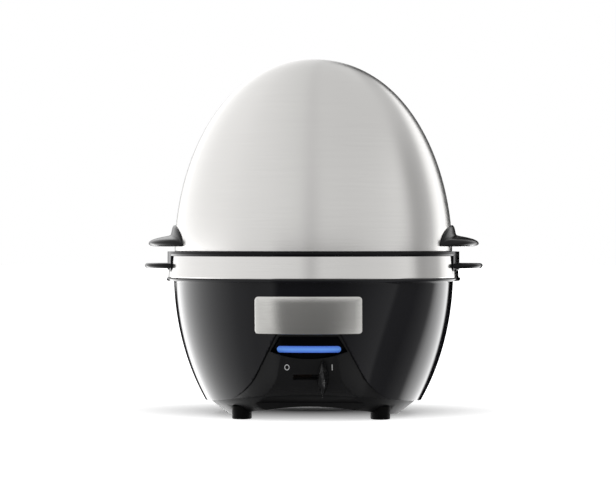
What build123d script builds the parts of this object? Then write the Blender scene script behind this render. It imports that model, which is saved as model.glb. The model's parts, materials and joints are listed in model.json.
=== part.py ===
from build123d import *
from math import asin, atan, atan2, cos, degrees, radians, sin, sqrt, tan
import os

# Egg cooker that stands on a table. The origin is on the table under its middle, +Z is up and the
# control side faces -Y. The switch is modelled at I, with lid and tray in place.

# Clearances
lie_gap = 0.1
lift_gap = 0.4
slide_gap = 0.35
cut_past = 1.0

# Bowl: half an upright ellipse turned about the vertical axis, with a bead, a collar and a ledge on top
bowl_step = 3.0
bowl_waist = 81.3
bowl_depth = 114.5
bowl_wall = 2.4
bead_low = 75.4
bead_height = 1.8
bead_overhang = 0.9
collar_wall = 2.5
ledge_reach = 2.2
ledge_height = 2.6

# Lower edge of the bowl: a shallow arch across the front and the back
seam_crest = 14.4
seam_arch_radius = 312.0

# Steel band round the collar, notched for the tray handles
band_wall = 0.8
band_height = 12.3
notch_width = 52.0
notch_depth = 8.3
notch_corner = 1.0

# Egg tray: eight seats in a ring and two in the middle. Its rim sets the width of all that it stands on
tray_rim_radius = 82.4
tray_overhang = 0.4
tray_rim_height = 2.3
tray_wall = 1.8
tray_depth = 8.5
tray_floor_thick = 2.0
tray_lip_wall = 1.6
tray_lip_height = 1.6
tray_skirt_wall = 2.2
tray_handle_reach = 95.5
tray_handle_height = 2.8
tray_handle_drop = 7.1
seat_count = 8
seat_setback = 23.8
seat_pair_offset = 20.0
seat_mouth = 16.0
seat_throat = 12.0
seat_drop = 6.0
seat_wall = 1.6
drain_radius = 2.5
drain_setback = 7.8

# Lid: a dome drawn as one Bezier curve, full at the top and upright at its hem
dome_step = 4.0
dome_height = 108.5
dome_wall = 1.0
dome_side_share = 0.45
dome_top_share = 0.68
dome_halvings = 40
hem_width = 1.6
hem_height = 1.8
vent_count = 3
vent_radius = 1.5
vent_pitch = 9.0
vent_setback = 38.0

# Lid handles: a plate that follows the dome and a grip that thins towards its round tip
handle_half_width = 33.5
handle_drop = 2.8
handle_rise = 12.2
handle_plate = 2.4
handle_reach = 93.9
handle_root_height = 5.6
handle_tip_height = 2.0
handle_crown = 0.9
handle_screw_angle = 9.0
handle_screw_rise = 2.1
handle_screw_depth = 5.0

# Control fascia: its outline and the finger scoop both run straight, then flare in an arc
fascia_inset = 1.8
fascia_wall = 2.4
fascia_top = 48.2
fascia_top_half = 17.0
fascia_knee = 26.0
fascia_knee_half = 28.5
fascia_end = 9.5
fascia_end_lean = 69.0
fascia_flange = 4.0
scoop_stand = 61.0
scoop_top = 52.0
scoop_top_setback = 4.3
scoop_knee = 28.0
scoop_knee_setback = 14.6
scoop_end = 9.6
scoop_end_lean = 67.0
scoop_wall = 2.2

# Badge plate above the controls
badge_width = 57.0
badge_height = 19.8
badge_low = 48.3
badge_corner = 2.0
badge_thick = 1.6
badge_border = 2.2
badge_recess = 0.5
badge_pin_radius = 1.3
badge_pin_offset = 18.0
badge_pin_length = 1.2

# Indicator: a dark window in a pocket, with a light bar across it
window_inset = 5.2
window_thick = 1.8
window_margin = 1.4
window_side_low = 38.6
window_low = 34.5
window_rim = 1.6
bar_length = 34.4
bar_height = 3.6
bar_middle = 39.7
bar_proud = 0.3
bar_back = 0.6

# Lamp board behind the window, with a sounder on its back
board_width = 54.0
board_height = 10.0
board_thick = 1.6
board_setback = 17.5
board_post_offset = 23.5
board_post_radius = 2.6
board_post_bite = 0.6
board_screw_length = 6.0
lamp_count = 3
lamp_pitch = 11.0
lamp_radius = 1.5
lamp_height = 1.9
buzzer_radius = 4.0
buzzer_height = 4.4

# Slide switch, built on the plane that touches the scoop at switch_middle
switch_middle = 24.5
switch_travel = 14.6
slot_height = 3.5
slot_corner = 0.5
stem_width = 2.0
lever_length = 22.6
lever_width = 6.4
lever_height = 7.0
ridge_length = 17.0
ridge_width = 1.8
carriage_width = 12.0
carriage_height = 7.0
carriage_thick = 2.8
carriage_setback = 0.6
body_thick = 9.0
body_wall = 2.0
ear_reach = 25.0
ear_height = 7.0
ear_thick = 2.0
ear_setback = 1.8
ear_screw_offset = 21.5
ear_screw_length = 5.0
terminal_count = 3
terminal_pitch = 9.0
terminal_width = 4.0
terminal_thick = 0.8
terminal_length = 6.0

# Heating dish with its seal
dish_wall = 1.4
dish_side_gap = 1.4
dish_flare = 6.0
dish_depth = 13.6
seal_height = 1.0
seal_gap = 0.4
stud_radius = 3.0
stud_tail = 1.5

# Heater under the dish, held by a clamp on the stud
element_circle = 42.0
element_radius = 3.2
element_gap_angle = 50.0
element_leg = 14.0
element_leg_radius = 2.2
clamp_thick = 2.0
clamp_hub = 13.0
clamp_arm_width = 9.0
clamp_arm_count = 3
clamp_arm_turn = 30.0
clamp_overhang = 4.5
thermostat_radius = 8.5
thermostat_cap_radius = 6.5
thermostat_cap_height = 2.2
thermostat_offset = 22.0
fuse_radius = 2.4
fuse_length = 15.0
fuse_offset = 26.0
spacer_wall = 2.6
shield_margin = 6.155
shield_thick = 0.8
shield_height = 46.0
shield_lip = 4.0
shield_screw_length = 9.0
nut_across = 10.0
nut_height = 4.0

# Base pan with its feet
pan_wall = 2.2
pan_gap = 0.2
pan_spigot = 4.0
pan_low = 0.9
pan_low_setback = 30.6
pan_slope = 38.0
arch_crest = 7.4
arch_radius = 178.0
foot_x = 38.0
foot_setback = 43.0
foot_radius = 5.4
foot_height = 7.4
post_radius = 7.2
post_top = 15.0
boss_radius = 4.5
boss_web = 2.6
boss_web_low = 22.0

# Mains entry
gland_middle = 28.0
gland_bore = 3.6
gland_sleeve = 6.0
gland_flange = 8.5
gland_flange_thick = 2.6
gland_tail = 3.0
gland_collar = 7.6
gland_collar_thick = 2.0
gland_collar_gap = 0.7
block_length = 26.0
block_width = 14.0
block_height = 12.0
block_offset = 26.0
block_seat = 11.4
block_pad_margin = 1.0
way_count = 3
way_pitch = 8.0
way_radius = 2.2

# Screws: a small one for lid, boards and shield, and a larger one for the housing
small_shank = 1.5
small_head = 2.8
small_head_height = 1.6
large_shank = 1.7
large_head = 3.2
large_head_height = 2.4
large_length = 22.0

# Heights and radii that follow
bead_top = bead_low + bead_height
band_top = bead_top + band_height
ledge_low = bead_top - ledge_height
band_radius = tray_rim_radius - tray_overhang
bead_radius = band_radius + bead_overhang
bowl_radius = band_radius - bowl_step
ledge_radius = bowl_radius - bowl_wall - ledge_reach
collar_radius = band_radius - band_wall - lie_gap
collar_bore = collar_radius - collar_wall
tray_top = band_top + tray_rim_height
tray_radius = collar_bore - 2 * lift_gap
seat_circle = tray_radius - seat_setback
drain_circle = tray_radius - drain_setback
tray_floor = band_top - tray_depth
tray_floor_top = tray_floor + tray_floor_thick
dome_radius = tray_rim_radius - dome_step
lip_radius = dome_radius - hem_width - lift_gap
handle_low = tray_top + handle_drop
flange_low = bead_top + seal_height
dish_mouth = ledge_radius - dish_side_gap
dish_floor_radius = dish_mouth - dish_flare
dish_top = flange_low + dish_wall
dish_floor = dish_top - dish_depth
dish_under = dish_floor - dish_wall
clamp_top = dish_under - 2 * element_radius
clamp_low = clamp_top - clamp_thick
pan_low_radius = bowl_radius - pan_low_setback
foot_y = bowl_radius - foot_setback
shield_radius = sqrt(foot_x**2 + foot_y**2) + shield_margin
shield_top = shield_height + shield_thick
window_back = window_inset + window_thick
fascia_back = fascia_inset + fascia_wall
scoop_axis = bowl_radius + scoop_stand
scoop_top_reach = bowl_radius - scoop_top_setback
scoop_knee_reach = bowl_radius - scoop_knee_setback
board_reach = bowl_radius - board_setback
bar_reach = board_reach - board_thick
screw_head_top = foot_height + lie_gap + large_head_height
far = 3 * bowl_radius

front_plane = Plane.XZ.location
base_aligned = (Align.CENTER, Align.CENTER, Align.MIN)
outward_aligned = (Align.MIN, Align.CENTER, Align.MIN)


def turned(*points):
    """Solid turned about the vertical axis from a closed outline of (radius, height) points."""
    return revolve(Plane.XZ * make_face(Polyline(*points, close=True)), Axis.Z)


def tube(inner, outer, low, high):
    """Upright ring."""
    return turned((inner, low), (outer, low), (outer, high), (inner, high))


def rod(place, radius, low, high):
    """Cylinder along the local Z of a place, from low to high."""
    return place * Pos(0, 0, low) * Cylinder(radius, high - low, align=base_aligned)


def disc(radius, low, high):
    """Upright cylinder on the middle axis."""
    return rod(Location(), radius, low, high)


def round_edged(radius, low, high):
    """Upright disc on the middle axis with a full round edge."""
    edge = radius - (high - low) / 2
    outer = ThreePointArc((edge, low), (radius, (low + high) / 2), (edge, high))
    section = make_face(outer + Polyline((edge, high), (0, high), (0, low), (edge, low)))
    return revolve(Plane.XZ * section, Axis.Z)


def slab(place, width, height, low, high):
    """Box centred on the local Z of a place, from low to high."""
    return place * Pos(0, 0, low) * Box(width, height, high - low, align=base_aligned)


def screw(place, shank, head, head_height, length):
    """Screw with its head standing on the place and its shank along local -Z."""
    return rod(place, head, 0, head_height) + rod(place, shank, -length, 0)


def small_screw(place, length):
    """Small screw with its head standing on the place."""
    return screw(place, small_shank, small_head, small_head_height, length)


def spread(count, pitch):
    """Offsets of a centred row."""
    return [(index - (count - 1) / 2) * pitch for index in range(count)]


def front(sketch):
    """Prism of an outline drawn in X and Z, reaching forward from the middle."""
    return extrude(Plane.XZ * sketch, far)


def across(crest, radius):
    """Cylinder along Y whose top line runs at the crest height."""
    return Pos(0, 0, crest - radius) * Rot(90, 0, 0) * Cylinder(radius, far)


def bow(half_chord, chord_reach, reach):
    """Radius and centre distance of the circle through a chord's ends and a point beyond its middle."""
    rise = reach - chord_reach
    radius = (half_chord**2 + rise**2) / (2 * rise)
    return radius, reach - radius


class Flare:
    """Edge that runs straight from top to knee, then flares outwards in a tangent arc."""

    def __init__(self, top, top_half, knee, knee_half, end, end_lean):
        self.top = (top_half, top)
        self.knee = (knee_half, knee)
        self.lean = atan((knee_half - top_half) / (top - knee))
        self.end_lean = radians(end_lean)
        self.radius = (knee - end) / (sin(self.end_lean) - sin(self.lean))

    def on_arc(self, lean):
        """Point of the arc where the edge leans this far from upright."""
        half = self.knee[0] + self.radius * (cos(self.lean) - cos(lean))
        return half, self.knee[1] - self.radius * (sin(lean) - sin(self.lean))

    def at(self, height):
        """Half width and lean at a height."""
        if height >= self.knee[1]:
            return self.knee[0] - (height - self.knee[1]) * tan(self.lean), self.lean
        lean = asin(sin(self.lean) + (self.knee[1] - height) / self.radius)
        return self.on_arc(lean)[0], lean

    def half_face(self, low):
        """Face between the edge and the middle line, down to a low line."""
        end = self.on_arc(self.end_lean)
        middle = self.on_arc((self.lean + self.end_lean) / 2)
        edge = Line(self.top, self.knee) + ThreePointArc(self.knee, middle, end)
        return make_face(edge + Polyline(end, (end[0], low), (0, low), (0, self.top[1]), self.top))


fascia_edge = Flare(fascia_top, fascia_top_half, fascia_knee, fascia_knee_half, fascia_end, fascia_end_lean)
scoop_edge = Flare(
    scoop_top,
    scoop_axis - scoop_top_reach,
    scoop_knee,
    scoop_axis - scoop_knee_reach,
    scoop_end,
    scoop_end_lean,
)
scoop_radius, scoop_lean = scoop_edge.at(switch_middle)
switch_normal = (0, -cos(scoop_lean), -sin(scoop_lean))
switch_plane = Plane((0, scoop_radius - scoop_axis, switch_middle), (1, 0, 0), switch_normal).location


def bowl_reach(height, inset=0.0):
    """Radius of the bowl's surface at a height, moved inwards by inset."""
    drop = (bowl_waist - height) / (bowl_depth - inset)
    return (bowl_radius - inset) * sqrt(1 - drop**2)


def bowl_body(inset):
    """Solid bowl up to its waist, its surface moved inwards by inset."""
    section = Pos(0, bowl_waist) * Ellipse(bowl_radius - inset, bowl_depth - inset)
    span = Rectangle(far, bowl_waist, align=(Align.MIN, Align.MIN))
    return revolve(Plane.XZ * (section & span), Axis.Z)


def bowl_skin(outer, inner):
    """Layer of the bowl between two insets."""
    return bowl_body(outer) - bowl_body(inner)


def fascia_outline(grow):
    """Outline of the control fascia, grown all round."""
    half = fascia_edge.half_face(0)
    return offset(half + mirror(half, Plane.YZ), grow)


def scoop(grow=0.0):
    """Space of the finger scoop: a flared form turned about an upright axis in front, grown all round."""
    section = scoop_edge.half_face(-pan_wall)
    if grow:
        section = offset(section, grow) & Rectangle(far, far, align=(Align.MIN, Align.CENTER))
    return Pos(0, -scoop_axis) * revolve(Plane.XZ * section, Axis.Z)


def window_outline(grow):
    """Outline of the indicator window: sides along the fascia's edge and a round bottom, grown all round."""
    low_half = fascia_edge.at(window_side_low)[0] - window_margin
    top_half = fascia_top_half - window_margin
    bottom = ThreePointArc((-low_half, window_side_low), (0, window_low), (low_half, window_side_low))
    top_left = (-top_half, fascia_top - window_margin)
    top_right = (top_half, fascia_top - window_margin)
    sides = Polyline((low_half, window_side_low), top_right, top_left, (-low_half, window_side_low))
    return offset(make_face(bottom + sides), grow)


def bar_outline(gap):
    """Outline of the light bar, smaller all round by gap."""
    return Pos(0, bar_middle) * SlotOverall(bar_length - 2 * gap, bar_height - 2 * gap)


def foot_places(height):
    """Places above the four feet."""
    return [Pos(x, y, height) for x in (-foot_x, foot_x) for y in (-foot_y, foot_y)]


def notch(gap):
    """Prism along X of the two band notches, smaller all round by gap."""
    outline = RectangleRounded(notch_width - 2 * gap, 2 * (notch_depth - gap), notch_corner)
    return extrude(Plane.YZ * Pos(0, band_top) * outline, far, both=True)


def gland_plane():
    """Place on the bowl's back, square to its surface."""
    reach = bowl_reach(gland_middle)
    slope = (bowl_waist - gland_middle) * bowl_radius**2 / (bowl_depth**2 * reach)
    lean = atan(slope)
    return Plane((0, reach, gland_middle), (1, 0, 0), (0, cos(lean), -sin(lean))).location


def make_bowl():
    """Gloss housing: shell, bead, collar, dish ledge and screw bosses."""
    outer = bowl_body(0) + disc(bead_radius, bead_low, bead_top) + disc(collar_radius, bead_top, band_top)
    hollow = bowl_body(bowl_wall) & disc(far, 0, ledge_low)
    hollow += disc(ledge_radius, ledge_low, bead_top)
    hollow += disc(collar_bore, bead_top, band_top)
    shell = outer - hollow - notch(0) - across(seam_crest, seam_arch_radius)
    shell -= front(fascia_outline(lie_gap))
    bosses = Part()
    for place in foot_places(0):
        angle = degrees(atan2(place.position.Y, place.position.X))
        middle = sqrt(foot_x**2 + foot_y**2)
        web = Box(bowl_radius, boss_web, shield_height - boss_web_low, align=outward_aligned)
        bosses += rod(place, boss_radius, post_top, shield_height)
        bosses += Rot(0, 0, angle) * Pos(middle, 0, boss_web_low) * web
    shell += bosses & bowl_body(bowl_wall / 2)
    for place in foot_places(0):
        shell -= rod(place, large_shank + lie_gap, post_top, screw_head_top + large_length + cut_past)
        shell -= rod(place, small_shank + lie_gap, shield_top - shield_screw_length - cut_past, shield_height)
    shell -= rod(gland_plane(), gland_sleeve + lie_gap, -2 * bowl_wall, bowl_wall)
    for x in (-badge_pin_offset, badge_pin_offset):
        shell -= front(Pos(x, badge_low + badge_height / 2) * Circle(badge_pin_radius + lie_gap))
    return shell


def make_band():
    """Steel band standing on the bead."""
    return tube(band_radius - band_wall, band_radius, bead_top, band_top) - notch(0)


def make_fascia():
    """Front insert with the finger scoop, the window pocket and the posts for board and switch."""
    opening = front(fascia_outline(-lie_gap))
    body = bowl_skin(fascia_inset, fascia_back) & opening
    body += bowl_skin(bowl_wall + lie_gap, fascia_back) & front(fascia_outline(fascia_flange))
    body += scoop(scoop_wall) & bowl_body(fascia_inset) & opening
    body += bowl_skin(bowl_wall + lie_gap, window_back) & front(window_outline(window_rim))
    posts = Part()
    for side in (-1, 1):
        board_place = front_plane * Pos(side * board_post_offset, bar_middle)
        posts += rod(board_place, board_post_radius, board_reach, bowl_radius)
        switch_place = switch_plane * Pos(side * ear_screw_offset, 0)
        posts += rod(switch_place, board_post_radius, ear_front(), bowl_wall)
    body += (posts & bowl_body(fascia_inset + board_post_bite)) - scoop(board_post_bite)
    body -= scoop()
    body -= switch_box(lie_gap / 2)
    body -= front(window_outline(lie_gap / 2))
    body -= across(seam_crest, seam_arch_radius)
    slot = RectangleRounded(switch_travel + stem_width + 2 * slide_gap, slot_height, slot_corner)
    body -= switch_plane * Pos(0, 0, -body_thick) * extrude(slot, 2 * body_thick)
    for side in (-1, 1):
        board_place = front_plane * Pos(side * board_post_offset, bar_middle)
        board_screw_tip = bar_reach + board_screw_length + lie_gap
        body -= rod(board_place, small_shank + lie_gap, board_reach, board_screw_tip)
        switch_place = switch_plane * Pos(side * ear_screw_offset, 0)
        body -= rod(switch_place, small_shank + lie_gap, ear_front(), ear_back() + ear_screw_length + lie_gap)
    return body


def make_badge():
    """Plate on the front of the bowl with a raised border and two pins through the wall."""
    outline = RectangleRounded(badge_width, badge_height, badge_corner)
    panel = RectangleRounded(badge_width - 2 * badge_border, badge_height - 2 * badge_border, badge_corner)
    middle = Pos(0, badge_low + badge_height / 2)
    face = -lie_gap - badge_thick
    plate = bowl_skin(face, -lie_gap) & front(middle * outline)
    plate -= bowl_skin(face - badge_thick, face + badge_recess) & front(middle * panel)
    pins = bowl_skin(-lie_gap - badge_thick / 2, bowl_wall + badge_pin_length)
    for x in (-badge_pin_offset, badge_pin_offset):
        plate += pins & front(middle * Pos(x, 0) * Circle(badge_pin_radius))
    return plate


def make_window():
    """Dark window in the fascia's pocket."""
    window = bowl_skin(window_inset, window_back) & front(window_outline(-lie_gap / 2))
    return window - front(bar_outline(0))


def make_light_bar():
    """Light bar set through the window."""
    return bowl_skin(window_inset - bar_proud, window_back + bar_back) & front(bar_outline(lie_gap / 2))


def board_screw_places():
    """Places on the back of the lamp board."""
    return [
        front_plane * Pos(side * board_post_offset, bar_middle, bar_reach) * Rot(180, 0, 0)
        for side in (-1, 1)
    ]


def make_board():
    """Lamp board, screwed to the fascia's posts."""
    board = slab(front_plane * Pos(0, bar_middle), board_width, board_height, bar_reach, board_reach)
    for place in board_screw_places():
        board -= rod(place, small_shank + lie_gap, -2 * board_thick, board_thick)
    return board


def make_lamps():
    """Row of lamps behind the light bar."""
    return [
        rod(front_plane * Pos(x, bar_middle), lamp_radius, board_reach, board_reach + lamp_height)
        for x in spread(lamp_count, lamp_pitch)
    ]


def make_buzzer():
    """Sounder on the back of the lamp board."""
    return rod(front_plane * Pos(0, bar_middle), buzzer_radius, bar_reach - buzzer_height, bar_reach)


def ear_front():
    """Front of the switch ears, on the switch plane."""
    return -scoop_wall - ear_setback


def ear_back():
    """Back of the switch ears, on the switch plane."""
    return ear_front() - ear_thick


def carriage_front():
    """Front of the carriage, on the switch plane."""
    return -scoop_wall - carriage_setback


def switch_box(gap):
    """Outer form of the switch body with its ears, grown by gap but for the seats of the ears."""
    width = carriage_width + switch_travel + 2 * (slide_gap + body_wall + gap)
    height = carriage_height + 2 * (slide_gap + body_wall + gap)
    box = slab(switch_plane, width, height, carriage_front() - body_thick - gap, carriage_front() + gap)
    ear_width = 2 * (ear_reach + gap)
    return box + slab(switch_plane, ear_width, ear_height + 2 * gap, ear_back() - gap, ear_front())


def stem_height():
    """Height of the lever's stem in the slot."""
    return slot_height - 2 * slide_gap


def leaf(length, width):
    """Leaf outline of two arcs that meet in a point above and below."""
    right = ThreePointArc((0, -length / 2), (width / 2, 0), (0, length / 2))
    left = ThreePointArc((0, length / 2), (-width / 2, 0), (0, -length / 2))
    return make_face(right + left)


def make_lever():
    """Finger lever with a leaf-shaped foot, a narrow ridge and the stem through the slot."""
    reach = switch_travel / 2 + lever_width / 2
    sag = scoop_radius - sqrt(scoop_radius**2 - reach**2)
    foot = sag + slide_gap
    place = switch_plane * Pos(switch_travel / 2, 0)
    fin = loft([Pos(0, 0, foot) * leaf(lever_length, lever_width),
                Pos(0, 0, foot + lever_height) * leaf(ridge_length, ridge_width)])
    tail = carriage_front() - carriage_thick
    stem = slab(Location(), stem_width, stem_height(), tail, foot + lever_height / 2)
    return place * (fin + stem)


def make_carriage():
    """Carriage behind the slot, pressed on the lever's stem."""
    place = switch_plane * Pos(switch_travel / 2, 0)
    front_face = carriage_front()
    back = front_face - carriage_thick
    hole = slab(place, stem_width + lie_gap, stem_height() + lie_gap, back - cut_past, front_face + cut_past)
    return slab(place, carriage_width, carriage_height, back, front_face) - hole


def make_switch_body():
    """Fixed switch body: a box with the carriage's channel and two screw ears."""
    channel_width = carriage_width + switch_travel + 2 * slide_gap
    channel_height = carriage_height + 2 * slide_gap
    body = switch_box(0)
    floor = carriage_front() - carriage_thick - slide_gap
    body -= slab(switch_plane, channel_width, channel_height, floor, carriage_front() + cut_past)
    for side in (-1, 1):
        place = switch_plane * Pos(side * ear_screw_offset, 0)
        body -= rod(place, small_shank + lie_gap, ear_back() - cut_past, ear_front() + cut_past)
    return body


def make_switch_screws():
    """Screws through the switch ears."""
    places = [switch_plane * Pos(side * ear_screw_offset, 0, ear_back()) for side in (-1, 1)]
    return [small_screw(place * Rot(180, 0, 0), ear_screw_length) for place in places]


def make_terminals():
    """Blades on the back of the switch."""
    back = carriage_front() - body_thick
    return [
        slab(switch_plane * Pos(x, 0), terminal_width, terminal_thick, back - terminal_length, back)
        for x in spread(terminal_count, terminal_pitch)
    ]


def make_tray():
    """Egg tray: rim, wall, floor with tapered seats, and two handles that pass through the notches."""
    tray = tube(lip_radius - tray_lip_wall, tray_rim_radius, band_top, tray_top)
    tray += tube(lip_radius - tray_lip_wall, lip_radius, tray_top, tray_top + tray_lip_height)
    tray += tube(tray_radius - tray_wall, tray_radius, tray_floor, band_top)
    tray += disc(tray_radius, tray_floor, tray_floor_top)
    skirt = tube(tray_rim_radius - tray_skirt_wall, tray_rim_radius, band_top - notch_depth, tray_top)
    tray += skirt & notch(lift_gap)
    half = notch_width / 2 - lift_gap
    bow_radius, bow_middle = bow(half, sqrt(tray_rim_radius**2 - half**2), tray_handle_reach)
    bar_low = band_top - tray_handle_drop
    for side in (-1, 1):
        bar = Pos(side * bow_middle, 0) * round_edged(bow_radius, bar_low, bar_low + tray_handle_height)
        tray += (bar & notch(lift_gap)) - disc(tray_rim_radius - tray_skirt_wall / 2, 0, band_top)
    step = 360 / seat_count
    ring = [Rot(0, 0, (index + 0.5) * step) * Pos(seat_circle, 0) for index in range(seat_count)]
    pair = [Pos(-seat_pair_offset, 0), Pos(seat_pair_offset, 0)]
    height = seat_drop + tray_floor_thick
    cup = Cone(seat_throat + seat_wall, seat_mouth + seat_wall, height, align=base_aligned)
    past = cut_past * (seat_mouth - seat_throat) / height
    hollow = Cone(seat_throat - past, seat_mouth + past, height + 2 * cut_past, align=base_aligned)
    for place in ring + pair:
        tray += place * Pos(0, 0, tray_floor - seat_drop) * cup
    for place in ring + pair:
        tray -= place * Pos(0, 0, tray_floor - seat_drop - cut_past) * hollow
    for index in range(seat_count):
        drain = Rot(0, 0, index * step) * Pos(drain_circle, 0)
        tray -= rod(drain, drain_radius, tray_floor - cut_past, band_top)
    return tray


def dome_point(share):
    """Radius and height of the dome's curve at a share of its length parameter."""
    rest = 1 - share
    radius = dome_radius * (rest**3 + 3 * rest**2 * share + 3 * dome_top_share * rest * share**2)
    height = dome_height * (3 * dome_side_share * rest**2 * share + 3 * rest * share**2 + share**3)
    return radius, tray_top + height


def dome_reach(height):
    """Outer radius of the dome at a height, found by halving."""
    low, high = 0.0, 1.0
    for _ in range(dome_halvings):
        middle = (low + high) / 2
        if dome_point(middle)[1] < height:
            low = middle
        else:
            high = middle
    return dome_point(low)[0]


def dome_body(grow):
    """Solid dome, its surface moved outwards by grow."""
    radius = dome_radius + grow
    height = dome_height + grow
    curve = Bezier(
        (radius, tray_top),
        (radius, tray_top + dome_side_share * height),
        (dome_top_share * radius, tray_top + height),
        (0, tray_top + height),
    )
    section = make_face(curve + Polyline((0, tray_top + height), (0, tray_top), (radius, tray_top)))
    return revolve(Plane.XZ * section, Axis.Z)


def handle_screw_places():
    """Places on the dome's inside, their Z pointing inwards."""
    height = handle_low + handle_screw_rise
    reach = dome_reach(height + small_head) - dome_wall - lie_gap
    angles = [side + turn for side in (0, 180) for turn in (-handle_screw_angle, handle_screw_angle)]
    return [Rot(0, 0, angle) * Pos(reach, 0, height) * Rot(0, -90, 0) for angle in angles]


def make_dome():
    """Steel dome with a hemmed rim, three vents at the back and holes for the handle screws."""
    hem = tube(dome_radius - hem_width, far, tray_top, tray_top + hem_height)
    dome = dome_body(0) - (dome_body(-dome_wall) - hem)
    for x in spread(vent_count, vent_pitch):
        dome -= rod(Pos(x, vent_setback), vent_radius, tray_top + dome_height / 2, tray_top + dome_height)
    for place in handle_screw_places():
        dome -= rod(place, small_shank + lie_gap, -2 * dome_wall, dome_wall)
    return dome


def make_lid_handle():
    """Right handle of the lid."""
    outline = Pos(0, handle_low) * Ellipse(handle_half_width, handle_rise)
    outline &= Pos(0, handle_low) * Rectangle(far, far, align=(Align.CENTER, Align.MIN))
    handle = (dome_body(handle_plate) - dome_body(lie_gap)) & extrude(Plane.YZ * outline, far)
    rim = dome_reach(handle_low)
    bow_radius, bow_middle = bow(handle_half_width, sqrt(rim**2 - handle_half_width**2), handle_reach)
    root = rim + handle_plate / 2 - bow_middle
    tip_round = handle_tip_height / 2
    tip_low = (bow_radius - tip_round, handle_low)
    tip_top = (bow_radius - tip_round, handle_low + handle_tip_height)
    root_top = (root, handle_low + handle_root_height)
    crown = ((tip_top[0] + root) / 2, (tip_top[1] + root_top[1]) / 2 + handle_crown)
    section = make_face(
        ThreePointArc(tip_low, (bow_radius, handle_low + tip_round), tip_top)
        + ThreePointArc(tip_top, crown, root_top)
        + Polyline(root_top, (0, root_top[1]), (0, handle_low), tip_low)
    )
    handle += Pos(bow_middle, 0) * revolve(Plane.XZ * section, Axis.Z) - dome_body(lie_gap)
    for place in handle_screw_places():
        handle -= rod(place, small_shank + lie_gap, -dome_wall - handle_screw_depth - lie_gap, 0)
    return handle


def make_handle_screws():
    """Screws from inside the dome into the handles."""
    return [small_screw(place, dome_wall + handle_screw_depth) for place in handle_screw_places()]


def make_dish():
    """Heating dish with its flange on the seal and a stud below."""
    flare = (dish_mouth - dish_floor_radius) / dish_depth
    rim = collar_bore - seal_gap
    dish = turned(
        (0, dish_floor),
        (dish_floor_radius, dish_floor),
        (dish_mouth, dish_top),
        (rim, dish_top),
        (rim, flange_low),
        (dish_mouth + dish_wall * (1 - flare), flange_low),
        (dish_floor_radius + dish_wall * (1 - flare), dish_under),
        (0, dish_under),
    )
    return dish + disc(stud_radius, shield_height - nut_height - stud_tail, dish_under)


def make_seal():
    """Flat ring between the ledge and the dish."""
    return tube(ledge_radius + seal_gap, collar_bore - seal_gap, bead_top, flange_low)


def make_element():
    """Heating tube bent to an open ring, with a leg down at each end."""
    middle = dish_under - element_radius
    section = Plane.XZ * Pos(element_circle, middle) * Circle(element_radius)
    ring = Rot(0, 0, 90 + element_gap_angle / 2) * revolve(section, Axis.Z, 360 - element_gap_angle)
    for turn in (-1, 1):
        angle = 90 + turn * element_gap_angle / 2
        place = Rot(0, 0, angle) * Pos(element_circle, 0)
        ring += rod(place, element_leg_radius, middle - element_leg, middle)
    return ring


def make_clamp():
    """Stamped clamp that holds the heating tube and the thermostat up against the dish."""
    clamp = disc(clamp_hub, clamp_low, clamp_top)
    reach = element_circle + clamp_overhang
    for index in range(clamp_arm_count):
        angle = clamp_arm_turn + index * 360 / clamp_arm_count
        arm = Box(reach, clamp_arm_width, clamp_thick, align=outward_aligned)
        clamp += Rot(0, 0, angle) * Pos(0, 0, clamp_low) * arm
    tongue = Box(clamp_arm_width, thermostat_offset, clamp_thick, align=(Align.CENTER, Align.MIN, Align.MIN))
    clamp += Pos(0, 0, clamp_low) * tongue
    clamp += rod(Pos(0, thermostat_offset), thermostat_radius, clamp_low, clamp_top)
    return clamp - disc(stud_radius + lie_gap, clamp_low - cut_past, clamp_top + cut_past)


def make_thermostat():
    """Disc thermostat pressed on the dish."""
    place = Pos(0, thermostat_offset)
    step = dish_under - thermostat_cap_height
    body = rod(place, thermostat_radius, clamp_top, step)
    return body + rod(place, thermostat_cap_radius, step, dish_under)


def make_fuse():
    """Thermal fuse lying on the clamp's front arm."""
    place = Pos(0, -fuse_offset, clamp_top + fuse_radius) * Rot(0, 90, 0)
    return rod(place, fuse_radius, -fuse_length / 2, fuse_length / 2)


def make_spacer():
    """Sleeve on the stud between clamp and shield."""
    return tube(stud_radius + lie_gap, stud_radius + spacer_wall, shield_top, clamp_low)


def make_shield():
    """Sheet-metal heat shield on the bosses."""
    shield = disc(shield_radius, shield_height, shield_top)
    shield += tube(shield_radius - shield_thick, shield_radius, shield_height, shield_height + shield_lip)
    shield -= disc(stud_radius + lie_gap, shield_height - cut_past, shield_top + cut_past)
    for place in foot_places(shield_height):
        shield -= rod(place, small_shank + lie_gap, -cut_past, 2 * shield_thick)
    return shield


def make_nut():
    """Hexagon nut under the shield."""
    outline = RegularPolygon(nut_across / 2, 6, major_radius=False)
    nut = Pos(0, 0, shield_height - nut_height) * extrude(outline, nut_height)
    return nut - disc(stud_radius + lie_gap, shield_height - nut_height - cut_past, shield_height + cut_past)


def make_shield_screws():
    """Screws from the shield into the bosses."""
    return [small_screw(place, shield_screw_length) for place in foot_places(shield_top)]


def pan_cone(inset):
    """Cone of the pan's side, moved inwards by inset."""
    sideways = inset / sin(radians(pan_slope))
    low_radius = pan_low_radius - sideways
    high_radius = low_radius + (bowl_waist - pan_low) / tan(radians(pan_slope))
    return turned((0, pan_low), (low_radius, pan_low), (high_radius, bowl_waist), (0, bowl_waist))


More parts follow.
